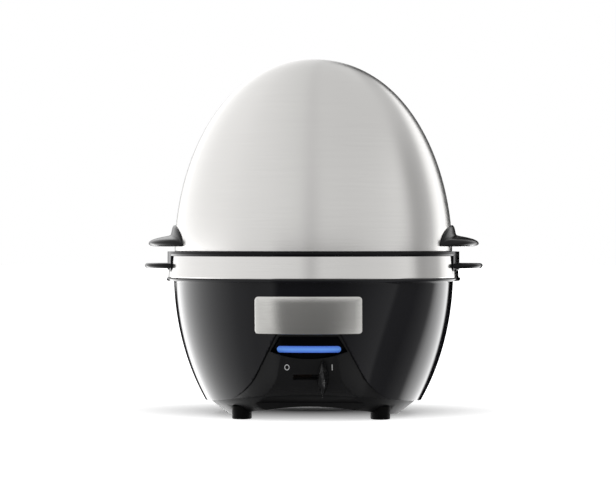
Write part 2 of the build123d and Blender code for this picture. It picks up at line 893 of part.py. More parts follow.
def make_pan():
    """Base pan: cone side, arched underside, spigot in the bowl, scooped front, posts and foot pockets."""
    skin = bowl_wall + pan_gap
    outer = bowl_body(skin) & pan_cone(0)
    outer &= across(seam_crest + pan_spigot, seam_arch_radius)
    outer -= scoop() + across(arch_crest, arch_radius)
    hollow = bowl_body(skin + pan_wall) & pan_cone(pan_wall)
    hollow -= scoop(pan_wall)
    hollow -= across(arch_crest + pan_wall, arch_radius + pan_wall)
    inside = Part()
    for place in foot_places(0):
        inside += rod(place, post_radius, 0, post_top)
    pad_length = block_length + 2 * block_pad_margin
    pad_width = block_width + 2 * block_pad_margin
    inside += slab(Pos(0, block_offset), pad_length, pad_width, pan_low, block_seat)
    zone = front(fascia_outline(fascia_flange + lie_gap)) - across(seam_crest - lie_gap, seam_arch_radius)
    pan = outer - hollow - zone
    pan += (outer & inside & bowl_body(fascia_back + pan_gap)) - scoop(scoop_wall + lie_gap)
    for place in foot_places(0):
        pan -= rod(place, foot_radius + lie_gap, -cut_past, foot_height + lie_gap)
        pan -= rod(place, large_head + lie_gap, 0, screw_head_top)
        pan -= rod(place, large_shank + slide_gap, 0, post_top + cut_past)
    return pan


def make_feet():
    """Rubber feet, by name."""
    names = {(-1, -1): "front_left", (1, -1): "front_right", (-1, 1): "rear_left", (1, 1): "rear_right"}
    return {
        f"foot_{name}": rod(Pos(x * foot_x, y * foot_y), foot_radius, 0, foot_height)
        for (x, y), name in names.items()
    }


def make_housing_screws():
    """Screws above the feet that hold the pan to the bowl's bosses."""
    places = [place * Rot(180, 0, 0) for place in foot_places(screw_head_top)]
    return [screw(place, large_shank, large_head, large_head_height, large_length) for place in places]


def make_gland():
    """Bush for the mains lead, flanged outside the bowl and collared inside."""
    place = gland_plane()
    back = -bowl_wall - gland_collar_gap
    tail = back - gland_collar_thick - gland_tail
    gland = rod(place, gland_flange, -bowl_wall, gland_flange_thick) - bowl_body(-lie_gap)
    gland += rod(place, gland_sleeve, tail, gland_flange_thick)
    gland += rod(place, gland_collar, back - gland_collar_thick, back)
    return gland - rod(place, gland_bore, tail - cut_past, gland_flange_thick + cut_past)


def make_block():
    """Terminal block with through ways."""
    body = slab(Pos(0, block_offset), block_length, block_width, block_seat, block_seat + block_height)
    for x in spread(way_count, way_pitch):
        body -= rod(front_plane * Pos(x, block_seat + block_height / 2), way_radius, -far, far)
    return body


def build():
    """All pieces by node name; a list is one node of separate solids."""
    right_handle = make_lid_handle()
    pieces = {
        "lid_dome": make_dome(),
        "lid_handle_right": right_handle,
        "lid_handle_left": mirror(right_handle, Plane.YZ),
        "lid_handle_screws": make_handle_screws(),
        "egg_tray": make_tray(),
        "trim_band": make_band(),
        "bowl_shell": make_bowl(),
        "control_fascia": make_fascia(),
        "badge_plate": make_badge(),
        "indicator_window": make_window(),
        "light_bar": make_light_bar(),
        "lamp_board": make_board(),
        "lamps": make_lamps(),
        "board_screws": [small_screw(place, board_screw_length) for place in board_screw_places()],
        "buzzer": make_buzzer(),
        "switch_lever": make_lever(),
        "switch_carriage": make_carriage(),
        "switch_body": make_switch_body(),
        "switch_terminals": make_terminals(),
        "switch_screws": make_switch_screws(),
        "heating_dish": make_dish(),
        "dish_seal": make_seal(),
        "heating_element": make_element(),
        "element_clamp": make_clamp(),
        "thermostat": make_thermostat(),
        "thermal_fuse": make_fuse(),
        "spacer_sleeve": make_spacer(),
        "heat_shield": make_shield(),
        "tie_nut": make_nut(),
        "shield_screws": make_shield_screws(),
        "base_pan": make_pan(),
        "housing_screws": make_housing_screws(),
        "cord_gland": make_gland(),
        "terminal_block": make_block(),
    }
    pieces.update(make_feet())
    return pieces


os.makedirs("parts", exist_ok=True)
for name, piece in build().items():
    solids = piece if isinstance(piece, list) else [piece]
    export_step(Compound(children=solids) if len(solids) > 1 else solids[0], f"parts/{name}.step")
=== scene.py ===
import json
import logging
import math
from collections.abc import Callable, Iterator, Sequence
from contextlib import contextmanager
from dataclasses import dataclass
from enum import Enum

import bpy
from bpy.types import Material, Node, NodeSocket, NodeTree, Object
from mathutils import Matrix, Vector


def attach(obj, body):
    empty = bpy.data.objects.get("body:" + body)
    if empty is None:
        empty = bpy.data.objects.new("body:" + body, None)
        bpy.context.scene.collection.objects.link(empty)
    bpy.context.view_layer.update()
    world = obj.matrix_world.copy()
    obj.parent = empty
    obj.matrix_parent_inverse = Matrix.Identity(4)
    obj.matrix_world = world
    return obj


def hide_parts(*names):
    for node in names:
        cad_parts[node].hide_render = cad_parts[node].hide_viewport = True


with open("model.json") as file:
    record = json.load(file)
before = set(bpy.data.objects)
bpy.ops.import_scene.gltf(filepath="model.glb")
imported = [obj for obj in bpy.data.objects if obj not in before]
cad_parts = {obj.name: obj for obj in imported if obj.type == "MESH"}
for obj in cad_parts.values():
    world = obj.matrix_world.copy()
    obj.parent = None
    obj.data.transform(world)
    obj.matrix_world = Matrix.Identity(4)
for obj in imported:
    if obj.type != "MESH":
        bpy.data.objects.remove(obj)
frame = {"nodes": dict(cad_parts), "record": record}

log = logging.getLogger("egg_cooker")

MM = 0.001
# Doubles nearer than this are merged, and facets that turn by less than this are joined
WELD = 0.01 * MM
FLAT = math.radians(0.5)
# Height of a finish's relief at full strength
RELIEF = 0.1 * MM
# Millimetres from the middle that clear every side of the cooker
BEYOND = 120.0
Outline = list[tuple[float, float]]


class Side(Enum):
    """The two sides of the cooker, seen from the front."""

    LEFT = "left"
    RIGHT = "right"


def pick(piece: Object) -> None:
    """Makes a piece the only selected object, and the active one."""
    bpy.ops.object.select_all(action="DESELECT")
    piece.select_set(True)
    bpy.context.view_layer.objects.active = piece


@contextmanager
def editing(piece: Object) -> Iterator[None]:
    """Opens a piece in edit mode with all its vertices selected."""
    pick(piece)
    bpy.ops.object.mode_set(mode="EDIT")
    bpy.ops.mesh.select_mode(type="VERT")
    bpy.ops.mesh.select_all(action="SELECT")
    yield
    bpy.ops.object.mode_set(mode="OBJECT")


def close_up() -> None:
    """Merges doubles in the open mesh and turns its faces outwards."""
    bpy.ops.mesh.select_all(action="SELECT")
    bpy.ops.mesh.remove_doubles(threshold=WELD)
    bpy.ops.mesh.normals_make_consistent(inside=False)


def begin(name: str, primitive: Callable[..., object], **sizes: object) -> Object:
    """Adds a primitive as the start of a piece.

    Args:
        name: Name of the new piece.
        primitive: Operator that adds it.
        **sizes: Settings of that operator.

    Returns:
        The piece, selected alone.
    """
    bpy.ops.object.select_all(action="DESELECT")
    primitive(**sizes)
    piece = bpy.context.active_object
    piece.name = name
    return piece


def trace(name: str, points: Sequence[Vector]) -> Object:
    """Draws a chain of edges from one vertex.

    Args:
        name: Name of the new piece.
        points: Places in metres that the chain runs through.

    Returns:
        The piece with the chain in its mesh.
    """
    piece = begin(name, bpy.ops.mesh.primitive_plane_add, size=MM)
    with editing(piece):
        bpy.ops.mesh.merge(type="CENTER")
        bpy.ops.transform.translate(value=points[0])
        for here, there in zip(points, points[1:]):
            bpy.ops.mesh.extrude_vertices_move(TRANSFORM_OT_translate={"value": there - here})
    return piece


def lathe(name: str, outline: Outline, steps: int) -> Object:
    """Spins an outline about the cooker's axis.

    Args:
        name: Name of the new piece.
        outline: Radius and height of each point in millimetres, from pole to pole or back to its start.
        steps: Steps in the full turn.

    Returns:
        The spun piece, closed and facing outwards.
    """
    piece = trace(name, [Vector((radius, 0, height)) * MM for radius, height in outline])
    with editing(piece):
        bpy.ops.mesh.spin(steps=steps, angle=math.tau, center=(0, 0, 0), axis=(0, 0, 1))
        close_up()
    return piece


def prism(name: str, outline: Outline, low: float, high: float) -> Object:
    """Extrudes a closed outline in X and Z along Y.

    Args:
        name: Name of the new piece.
        outline: X and Z of each corner in millimetres.
        low: Y of the first end in millimetres.
        high: Y of the other end in millimetres.

    Returns:
        The solid piece.
    """
    piece = trace(name, [Vector((x, low, z)) * MM for x, z in [*outline, outline[0]]])
    with editing(piece):
        bpy.ops.mesh.remove_doubles(threshold=WELD)
        bpy.ops.mesh.edge_face_add()
        reach = Vector((0, high - low, 0)) * MM
        bpy.ops.mesh.extrude_region_move(TRANSFORM_OT_translate={"value": reach})
        close_up()
    return piece


def loft(name: str, loops: Sequence[Sequence[Vector]]) -> Object:
    """Bridges closed loops, one after the other, and closes both ends.

    Args:
        name: Name of the new piece.
        loops: Corners of each loop in metres.

    Returns:
        The solid piece.
    """
    pieces = [trace(name, [*loop, loop[0]]) for loop in loops]
    first = pieces[0]
    pick(first)
    for piece in pieces:
        piece.select_set(True)
    bpy.ops.object.join()
    with editing(first):
        bpy.ops.mesh.remove_doubles(threshold=WELD)
        bpy.ops.mesh.bridge_edge_loops()
        bpy.ops.mesh.fill_holes(sides=0)
        close_up()
    return first


def apply_modifier(piece: Object, kind: str, **settings: object) -> None:
    """Adds a modifier and applies it.

    Args:
        piece: Piece to change.
        kind: Type of the modifier.
        **settings: Its properties.
    """
    pick(piece)
    bpy.ops.object.modifier_add(type=kind)
    modifier = piece.modifiers[-1]
    for name, value in settings.items():
        setattr(modifier, name, value)
    bpy.ops.object.modifier_apply(modifier=modifier.name)


def stand_up(piece: Object, place: Vector) -> None:
    """Turns a flat piece to face the front.

    Args:
        piece: Flat piece at the origin.
        place: Where its middle goes, in millimetres.
    """
    with editing(piece):
        bpy.ops.transform.rotate(value=-math.pi / 2, orient_axis="X", center_override=(0, 0, 0))
        bpy.ops.transform.translate(value=place * MM)


def lay_on(piece: Object, carrier: Object, gap: float) -> None:
    """Moves a sheet along Y onto its carrier.

    Args:
        piece: Sheet to move.
        carrier: Piece that it lies on.
        gap: Gap between them in millimetres.
    """
    apply_modifier(
        piece,
        "SHRINKWRAP",
        target=carrier,
        wrap_method="PROJECT",
        use_project_y=True,
        use_positive_direction=True,
        use_negative_direction=True,
        offset=gap * MM,
    )


def cut(piece: Object, tool: Object) -> None:
    """Cuts a tool's shape out of a piece and puts the tool away."""
    apply_modifier(piece, "BOOLEAN", object=tool, operation="DIFFERENCE", solver="EXACT")
    bpy.data.objects.remove(tool)


def shade(piece: Object, angle: float) -> None:
    """Shades a piece smooth across edges that turn by less than an angle in degrees."""
    pick(piece)
    bpy.ops.object.shade_smooth_by_angle(angle=math.radians(angle))


def soften(piece: Object, width: float, angle: float = 35.0, segments: int = 2) -> None:
    """Rounds the sharp edges of a piece and shades the rest smooth.

    Args:
        piece: Piece to round.
        width: Width of the rounding in millimetres.
        angle: Angle in degrees from which an edge counts as sharp.
        segments: Steps across the rounding.
    """
    apply_modifier(
        piece,
        "BEVEL",
        width=width * MM,
        segments=segments,
        limit_method="ANGLE",
        angle_limit=math.radians(angle),
        miter_outer="MITER_ARC",
    )
    shade(piece, angle)


def copied(node: str) -> Object:
    """Copies a CAD node as a new piece and welds its facets.

    Args:
        node: Name of the node.

    Returns:
        The copy, with its flat facets joined.
    """
    piece = bpy.data.objects.new(f"{node}_dressed", frame["nodes"][node].data.copy())
    bpy.context.scene.collection.objects.link(piece)
    with editing(piece):
        bpy.ops.mesh.customdata_custom_splitnormals_clear()
        bpy.ops.mesh.remove_doubles(threshold=WELD)
        bpy.ops.mesh.dissolve_limited(angle_limit=FLAT)
    return piece


def refined(node: str, width: float) -> Object:
    """Copies a CAD node and rounds its edges.

    Args:
        node: Name of the node.
        width: Width of the rounding in millimetres.

    Returns:
        The rounded copy.
    """
    piece = copied(node)
    soften(piece, width)
    return piece


def arc(middle: tuple[float, float], radius: float, start: float, end: float, count: int) -> Outline:
    """Points of an arc, from start to end in degrees."""
    angles = [math.radians(start + (end - start) * index / count) for index in range(count + 1)]
    return [(middle[0] + radius * math.cos(angle), middle[1] + radius * math.sin(angle)) for angle in angles]


def grey(level: float) -> tuple[float, float, float, float]:
    """Linear grey of a level, as a colour."""
    return (level, level, level, 1)


class Build:
    """Node tree under construction."""

    def __init__(self, tree: NodeTree) -> None:
        """Takes the tree and clears it."""
        self.tree = tree
        self.tree.nodes.clear()

    def add(self, kind: str, inputs: dict[str | int, object] | None = None, **settings: object) -> Node:
        """Adds a node.

        Args:
            kind: Type of the node.
            inputs: Values or sockets for its inputs, by name or place.
            **settings: Properties of the node.

        Returns:
            The new node.
        """
        node = self.tree.nodes.new(kind)
        for name, value in settings.items():
            setattr(node, name, value)
        for key, value in (inputs or {}).items():
            if isinstance(value, NodeSocket):
                self.tree.links.new(value, node.inputs[key])
            else:
                node.inputs[key].default_value = value
        return node

    def sum(self, operation: str, first: object, second: object = 0.0, third: object = 0.0) -> NodeSocket:
        """Adds a math node and returns its result."""
        return self.add("ShaderNodeMath", {0: first, 1: second, 2: third}, operation=operation).outputs[0]

    def spread(self, value: object, low: float, high: float) -> NodeSocket:
        """Maps a value from 0 to 1 onto a range."""
        return self.add("ShaderNodeMapRange", {"Value": value, "To Min": low, "To Max": high}).outputs[0]

    def mixed(self, share: object, first: object, second: object) -> NodeSocket:
        """Mixes two colours."""
        node = self.add("ShaderNodeMix", {0: share, 6: first, 7: second}, data_type="RGBA")
        return node.outputs[2]

    def noise(self, place: NodeSocket, scale: object, detail: float, rough: float = 0.5) -> NodeSocket:
        """Adds a noise texture and returns its value."""
        inputs = {"Vector": place, "Scale": scale, "Detail": detail, "Roughness": rough}
        return self.add("ShaderNodeTexNoise", inputs).outputs[0]

    def seen(self) -> NodeSocket:
        """Marks the rays that come from the camera, straight or through glass."""
        ray = self.add("ShaderNodeLightPath").outputs
        return self.sum("MAXIMUM", ray["Is Camera Ray"], ray["Is Transmission Ray"])

    def relief(self, height: NodeSocket, strength: float) -> NodeSocket:
        """Adds a bump of a strength and returns its normal."""
        inputs = {"Strength": strength, "Distance": RELIEF, "Height": height}
        return self.add("ShaderNodeBump", inputs).outputs[0]

    def surface(self, inputs: dict[str, object]) -> None:
        """Adds the shader with its inputs, and the output of the material."""
        shader = self.add("ShaderNodeBsdfPrincipled", inputs)
        self.add("ShaderNodeOutputMaterial", {"Surface": shader.outputs[0]})


def new_material(name: str) -> tuple[Material, Build]:
    """Starts a material.

    Args:
        name: Name of the material.

    Returns:
        The material and the build of its nodes.
    """
    material = bpy.data.materials.new(name)
    material.use_nodes = True
    return material, Build(material.node_tree)


class Effects:
    """Shader groups that more than one finish uses."""

    def __init__(self) -> None:
        """Builds each group once."""
        self.brushing = self.make_brushing()
        self.skin = self.make_skin()

    @staticmethod
    def new_group(name: str, values: dict[str, float], results: Sequence[str]) -> tuple[NodeTree, Build]:
        """Starts a group.

        Args:
            name: Name of the group.
            values: Its value inputs, with their defaults.
            results: Names of its value outputs.

        Returns:
            The group and the build of its nodes.
        """
        tree = bpy.data.node_groups.new(name, "ShaderNodeTree")
        for label, default in values.items():
            socket = tree.interface.new_socket(label, in_out="INPUT", socket_type="NodeSocketFloat")
            socket.default_value = default
        for label in results:
            tree.interface.new_socket(label, in_out="OUTPUT", socket_type="NodeSocketFloat")
        return tree, Build(tree)

    def make_brushing(self) -> NodeTree:
        """Fine lines round the upright axis, spaced along the curve of a turned shell.

        Returns:
            The group.
        """
        values = {"Centre": 0.0, "Lines": 1500.0, "Length": 30.0}
        tree, build = self.new_group("fine_brushing", values, ("Streak",))
        given = build.add("NodeGroupInput").outputs
        place = build.add("ShaderNodeTexCoord").outputs["Object"]
        parts = build.add("ShaderNodeSeparateXYZ", {0: place}).outputs
        across = build.sum("MULTIPLY", parts[0], parts[0])
        back = build.sum("MULTIPLY", parts[1], parts[1])
        reach = build.sum("SQRT", build.sum("ADD", across, back))
        polar = build.sum("ARCTAN2", reach, build.sum("SUBTRACT", parts[2], given["Centre"]))
        along = build.add(
            "ShaderNodeCombineXYZ",
            {
                0: build.sum("MULTIPLY", parts[0], given["Length"]),
                1: build.sum("MULTIPLY", parts[1], given["Length"]),
                2: build.sum("MULTIPLY", polar, given["Lines"]),
            },
        ).outputs[0]
        build.add("NodeGroupOutput", {"Streak": build.noise(along, scale=1.0, detail=3.0, rough=0.7)})
        return tree

    def make_skin(self) -> NodeTree:
        """Moulded skin: a fine grain, and slow clouds of polish and handling.

        Returns:
            The group.
        """
        values = {"Grain Scale": 2500.0, "Cloud Scale": 30.0}
        tree, build = self.new_group("moulded_skin", values, ("Grain", "Cloud"))
        given = build.add("NodeGroupInput").outputs
        place = build.add("ShaderNodeTexCoord").outputs["Object"]
        grain = build.noise(place, given["Grain Scale"], detail=2.0)
        cloud = build.noise(place, given["Cloud Scale"], detail=3.0)
        build.add("NodeGroupOutput", {"Grain": grain, "Cloud": cloud})
        return tree


@dataclass(frozen=True)
class Metal:
    """Brushed metal finish.

    Attributes:
        name: Name of the material.
        colour: Linear colour of the brightest lines.
        shade: Share of that colour in the deepest lines.
        smooth: Roughness of the brightest lines.
        rough: Roughness of the deepest lines.
        centre: Height in millimetres that the brushing turns about.
        lines: Lines per radian.
        length: How quickly a line changes along its run.
        stretch: Anisotropy of the reflection.
        depth: Strength of the line relief.
    """

    name: str
    colour: tuple[float, float, float]
    shade: float = 0.9
    smooth: float = 0.24
    rough: float = 0.34
    centre: float = 110.0
    lines: float = 500.0
    length: float = 25.0
    stretch: float = 0.8
    depth: float = 0.08

    def make(self, effects: Effects) -> Material:
        """Builds the material.

        Args:
            effects: Shader groups that it draws on.

        Returns:
            The material.
        """
        material, build = new_material(self.name)
        values = {"Centre": self.centre * MM, "Lines": self.lines, "Length": self.length}
        streak = build.add("ShaderNodeGroup", values, node_tree=effects.brushing).outputs["Streak"]
        deep = tuple(value * self.shade for value in self.colour)
        round_axis = build.add("ShaderNodeTangent", direction_type="RADIAL", axis="Z")
        build.surface(
            {
                "Base Color": build.mixed(streak, (*deep, 1), (*self.colour, 1)),
                "Metallic": 1.0,
                "Roughness": build.spread(streak, self.rough, self.smooth),
                "Anisotropic": self.stretch,
                "Anisotropic Rotation": 0.25,
                "Tangent": round_axis.outputs[0],
                "Normal": build.relief(streak, self.depth),
            }
        )
        return material


@dataclass(frozen=True)
class Moulded:
    """Finish of a moulded, cast or plated piece.

    Attributes:
        name: Name of the material.
        colour: Linear colour.
        worn: Linear colour of the cloudier places.
        smooth: Lowest roughness.
        rough: Highest roughness.
        metallic: Metallic share.
        specular: Specular level.
        grain: Grain scale per metre.
        depth: Strength of the grain's relief.
    """

    name: str
    colour: tuple[float, float, float]
    worn: tuple[float, float, float]
    smooth: float
    rough: float
    metallic: float = 0.0
    specular: float = 0.5
    grain: float = 2500.0
    depth: float = 0.05

    def make(self, effects: Effects) -> Material:
        """Builds the material.

        Args:
            effects: Shader groups that it draws on.

        Returns:
            The material.
        """
        material, build = new_material(self.name)
        skin = build.add("ShaderNodeGroup", {"Grain Scale": self.grain}, node_tree=effects.skin).outputs
        build.surface(
            {
                "Base Color": build.mixed(skin["Cloud"], (*self.colour, 1), (*self.worn, 1)),
                "Metallic": self.metallic,
                "Roughness": build.spread(skin["Cloud"], self.smooth, self.rough),
                "Specular IOR Level": self.specular,
                "Normal": build.relief(skin["Grain"], self.depth),
            }
        )
        return material


@dataclass(frozen=True)
class LitLens:
    """Frosted lens, lit from behind along its middle line.

    Attributes:
        name: Name of the material.
        core: Linear colour along the middle.
        edge: Linear colour along the edges.
        middle: Height of the middle line in millimetres.
        half: Half height of the lens in millimetres.
        glow: Strength of the light.
        fade: How much the clouds add to the fade towards the edges, and the fade without them.
        rough: Roughness of the lens.
    """

    name: str
    core: tuple[float, float, float]
    edge: tuple[float, float, float]
    middle: float
    half: float
    glow: float
    fade: tuple[float, float] = (0.6, 0.7)
    rough: float = 0.35

    def make(self, effects: Effects) -> Material:
        """Builds the material.

        Args:
            effects: Shader groups that it draws on.

        Returns:
            The material.
        """
        material, build = new_material(self.name)
        skin = build.add("ShaderNodeGroup", node_tree=effects.skin)
        place = build.add("ShaderNodeTexCoord").outputs["Object"]
        height = build.add("ShaderNodeSeparateXYZ", {0: place}).outputs[2]
        away = build.sum("ABSOLUTE", build.sum("SUBTRACT", height, self.middle * MM))
        share = build.sum("DIVIDE", away, self.half * MM)
        cloudy = build.sum("MULTIPLY_ADD", skin.outputs["Cloud"], *self.fade)
        share = build.sum("MINIMUM", build.sum("MULTIPLY", share, cloudy), 1.0)
        colour = build.mixed(share, (*self.core, 1), (*self.edge, 1))
        build.surface(
            {
                "Base Color": colour,
                "Roughness": self.rough,
                "Emission Color": colour,
                "Emission Strength": self.glow,
            }
        )
        return material


class Finishes:
    """Every material of the cooker, most of them named as the record's slots are.

    Attributes:
        recipes: What each material is made from.
    """

    recipes = (
        Metal("brushed_steel", (0.72, 0.71, 0.695), shade=0.86, smooth=0.2, rough=0.28, stretch=0.4),
        Metal(
            "band_steel", (0.705, 0.695, 0.68), shade=0.86, smooth=0.08, rough=0.14, centre=83.0, stretch=0.3
        ),
        Metal(
            "badge_nickel",
            (0.82, 0.81, 0.78),
            shade=0.66,
            smooth=0.12,
            rough=0.28,
            centre=58.0,
            lines=700.0,
            length=60.0,
            stretch=0.6,
        ),
        Metal("dish_steel", (0.6, 0.59, 0.58), centre=300.0, lines=900.0),
        Moulded(
            "gloss_black",
            (0.0045, 0.0045, 0.006),
            (0.006, 0.006, 0.0078),
            smooth=0.05,
            rough=0.09,
            specular=0.25,
            grain=600.0,
            depth=0.01,
        ),
        Moulded("satin_black", (0.008, 0.008, 0.0085), (0.012, 0.012, 0.0125), 0.13, 0.2, specular=0.2),
        Moulded("grip_black", (0.006, 0.006, 0.0065), (0.012, 0.012, 0.0125), 0.16, 0.26, specular=0.16),
        Moulded("lever_black", (0.006, 0.006, 0.0065), (0.01, 0.01, 0.0105), 0.16, 0.24, specular=0.4),
        Moulded("tray_black", (0.002, 0.002, 0.0025), (0.004, 0.004, 0.0045), 0.1, 0.18, specular=0.12),
        Moulded(
            "pan_black",
            (0.006, 0.006, 0.0065),
            (0.01, 0.01, 0.0105),
            smooth=0.4,
            rough=0.5,
            specular=0.12,
            grain=1800.0,
            depth=0.12,
        ),
        Moulded("smoked_window", (0.001, 0.001, 0.0015), (0.002, 0.002, 0.003), 0.05, 0.08, specular=0.05),
        LitLens("blue_lens", (0.1, 0.26, 0.68), (0.04, 0.11, 0.5), middle=39.7, half=1.8, glow=0.5),
        Moulded("circuit_board", (0.03, 0.18, 0.07), (0.02, 0.13, 0.05), 0.3, 0.45),
        Moulded("lamp_resin", (0.7, 0.78, 0.9), (0.6, 0.7, 0.85), 0.1, 0.2),
        Moulded("screw_steel", (0.6, 0.6, 0.6), (0.5, 0.5, 0.5), 0.2, 0.35, metallic=1.0),
        Moulded("seal_rubber", (0.42, 0.09, 0.05), (0.36, 0.08, 0.045), 0.45, 0.6),
        Moulded("element_metal", (0.3, 0.3, 0.31), (0.22, 0.21, 0.2), 0.35, 0.55, metallic=1.0),
        Moulded("sheet_metal", (0.62, 0.62, 0.63), (0.5, 0.5, 0.52), 0.25, 0.45, metallic=1.0),
        Moulded("phenolic", (0.03, 0.02, 0.017), (0.04, 0.028, 0.022), 0.35, 0.5),
        Moulded("white_nylon", (0.7, 0.69, 0.65), (0.64, 0.63, 0.58), 0.4, 0.55),
        Moulded("contact_brass", (0.72, 0.5, 0.2), (0.6, 0.4, 0.16), 0.25, 0.4, metallic=1.0),
        Moulded(
            "foot_rubber", (0.002, 0.002, 0.002), (0.004, 0.004, 0.004), 0.5, 0.65, specular=0.05, depth=0.15
        ),
        Moulded("legend_paint", (0.62, 0.62, 0.62), (0.55, 0.55, 0.55), 0.5, 0.6),
    )

    def __init__(self) -> None:
        """Builds the materials."""
        effects = Effects()
        self.materials = {recipe.name: recipe.make(effects) for recipe in self.recipes}

    def dress(self, piece: Object, finish: str) -> None:
        """Gives a piece one material."""
        piece.data.materials.clear()
        piece.data.materials.append(self.materials[finish])


class Fitter:
    """Puts finished pieces into the frame.

    Attributes:
        unlike: Finish of the nodes that show another one than their slot names.
    """

    unlike = {"switch_carriage": "satin_black"}

    def __init__(self, finishes: Finishes) -> None:
        """Reads the bodies and slots of the nodes from the frame's record.

        Args:
            finishes: Materials to dress the pieces with.
        """
        record = frame["record"]
        self.finishes = finishes
        self.bodies = {node: body for body, nodes in record["behaviour"]["bodies"].items() for node in nodes}
        self.slots = {part["node"]: part["material_slot"] for part in record["subparts"]}
        self.left = set(frame["nodes"])

    def replace(self, piece: Object, node: str, finish: str | None = None) -> None:
        """Puts a finished piece in place of a CAD node.

        Args:
            piece: Piece that stands for the node.
            node: Name of the CAD node.
            finish: Finish other than the one that the node's slot names.
        """
        self.finishes.dress(piece, finish or self.slots[node])
        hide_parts(node)
        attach(piece, self.bodies[node])
        self.left.discard(node)
        log.info("%s stands for %s", piece.name, node)

    def attach(self, piece: Object, node: str, finish: str) -> None:
        """Lets an extra piece ride with a CAD node.

        Args:
            piece: Piece that lies on the node.
            node: Name of the CAD node.
            finish: Finish of the piece.
        """
        self.finishes.dress(piece, finish)
        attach(piece, self.bodies[node])
        log.info("%s rides with %s", piece.name, node)

    def dress_rest(self) -> None:
        """Dresses the CAD nodes that stay."""
        for node in sorted(self.left):
            piece = frame["nodes"][node]
            self.finishes.dress(piece, self.unlike.get(node, self.slots[node]))
            log.info("%s keeps its solid", node)


@dataclass
class Lid:
    """Steel dome with its two handles; sizes in millimetres.

    Attributes:
        radius: Outer radius at the hem.
        low: Height of the hem.
        height: Height of the dome above the hem.
        wall: Thickness of the sheet.
        side_share: Upright pull of the dome's curve at its hem.
        top_share: Level pull of the dome's curve at its crown.
        hem: Width and height of the folded hem.
        hem_round: Rounding of the hem's edges.
        hem_step: Height over which the hem runs into the wall.
        rings: Steps up the outer and the inner curve.
        steps: Steps round the dome.
        crease: Turn in degrees from which an edge stays sharp.
        vent_radius: Radius of a steam vent.
        vent_places: X of the vents.
        vent_setback: Y of the vents.
    """

    radius: float = 78.4
    low: float = 91.8
    height: float = 108.5
    wall: float = 1.0
    side_share: float = 0.45
    top_share: float = 0.68
    hem: tuple[float, float] = (1.6, 1.8)
    hem_round: float = 0.4
    hem_step: float = 0.5
    rings: tuple[int, int] = (72, 60)
    steps: int = 224
    crease: float = 40.0
    vent_radius: float = 1.5
    vent_places: tuple[float, ...] = (-9.0, 0.0, 9.0)
    vent_setback: float = 38.0

    def curve(self, grow: float, count: int) -> Outline:
        """Draws the dome's curve from hem to crown.

        Args:
            grow: How far the curve moves outwards.
            count: Steps along it.

        Returns:
            The points.
        """
        radius = self.radius + grow
        height = self.height + grow
        points = []
        for index in range(count + 1):
            share = index / count
            rest = 1 - share
            across = radius * (rest**3 + 3 * rest**2 * share + 3 * self.top_share * rest * share**2)
            up = height * (3 * self.side_share * rest**2 * share + 3 * rest * share**2 + share**3)
            points.append((across, self.low + up))
        return points

    def reach(self, height: float) -> float:
        """Finds the radius of the dome at a height.

        Args:
            height: Height above the table.

        Returns:
            The radius, which is 0 above the crown.
        """
        points = self.curve(0, self.rings[0])
        for (low_radius, low), (high_radius, high) in zip(points, points[1:]):
            if height <= high:
                return low_radius + (high_radius - low_radius) * (height - low) / (high - low)
        return 0.0

    def dome(self) -> Object:
        """Spins the dome with its folded hem and drills the vents.

        Returns:
            The dome.
        """
        width, tall = self.hem
        outer_rings, inner_rings = self.rings
        clear = self.low + tall + self.wall
        inner = [point for point in self.curve(-self.wall, inner_rings) if point[1] > clear]
        hem = [
            (self.radius - self.wall, self.low + tall + self.hem_step),
            (self.radius - width, self.low + tall),
            (self.radius - width, self.low + self.hem_round),
            (self.radius - width + self.hem_round, self.low),
            (self.radius - self.hem_round, self.low),
        ]
        outer = self.curve(0, outer_rings)
        outer[0] = (self.radius, self.low + self.hem_round)
        piece = lathe("lid_dome_shell", [*reversed(inner), *hem, *outer], self.steps)
        for x in self.vent_places:
            tool = begin(
                "vent_tool",
                bpy.ops.mesh.primitive_cylinder_add,
                vertices=32,
                radius=self.vent_radius * MM,
                depth=self.height * MM,
                location=Vector((x, self.vent_setback, self.low + self.height)) * MM,
            )
            cut(piece, tool)
        shade(piece, self.crease)
        return piece

    def build(self, fitter: Fitter) -> None:
        """Builds and fits the lid's pieces.

        Args:
            fitter: Puts them into the frame.
        """
        fitter.replace(self.dome(), "lid_dome")
        right = LidHandle(self).form("lid_handle_right_grip")
        pick(right)
        bpy.ops.object.duplicate()
        left = bpy.context.active_object
        left.name = "lid_handle_left_grip"
        with editing(left):
            bpy.ops.transform.resize(value=(-1, 1, 1), center_override=(0, 0, 0))
            close_up()
        fitter.replace(right, "lid_handle_right", "grip_black")
        fitter.replace(left, "lid_handle_left", "grip_black")


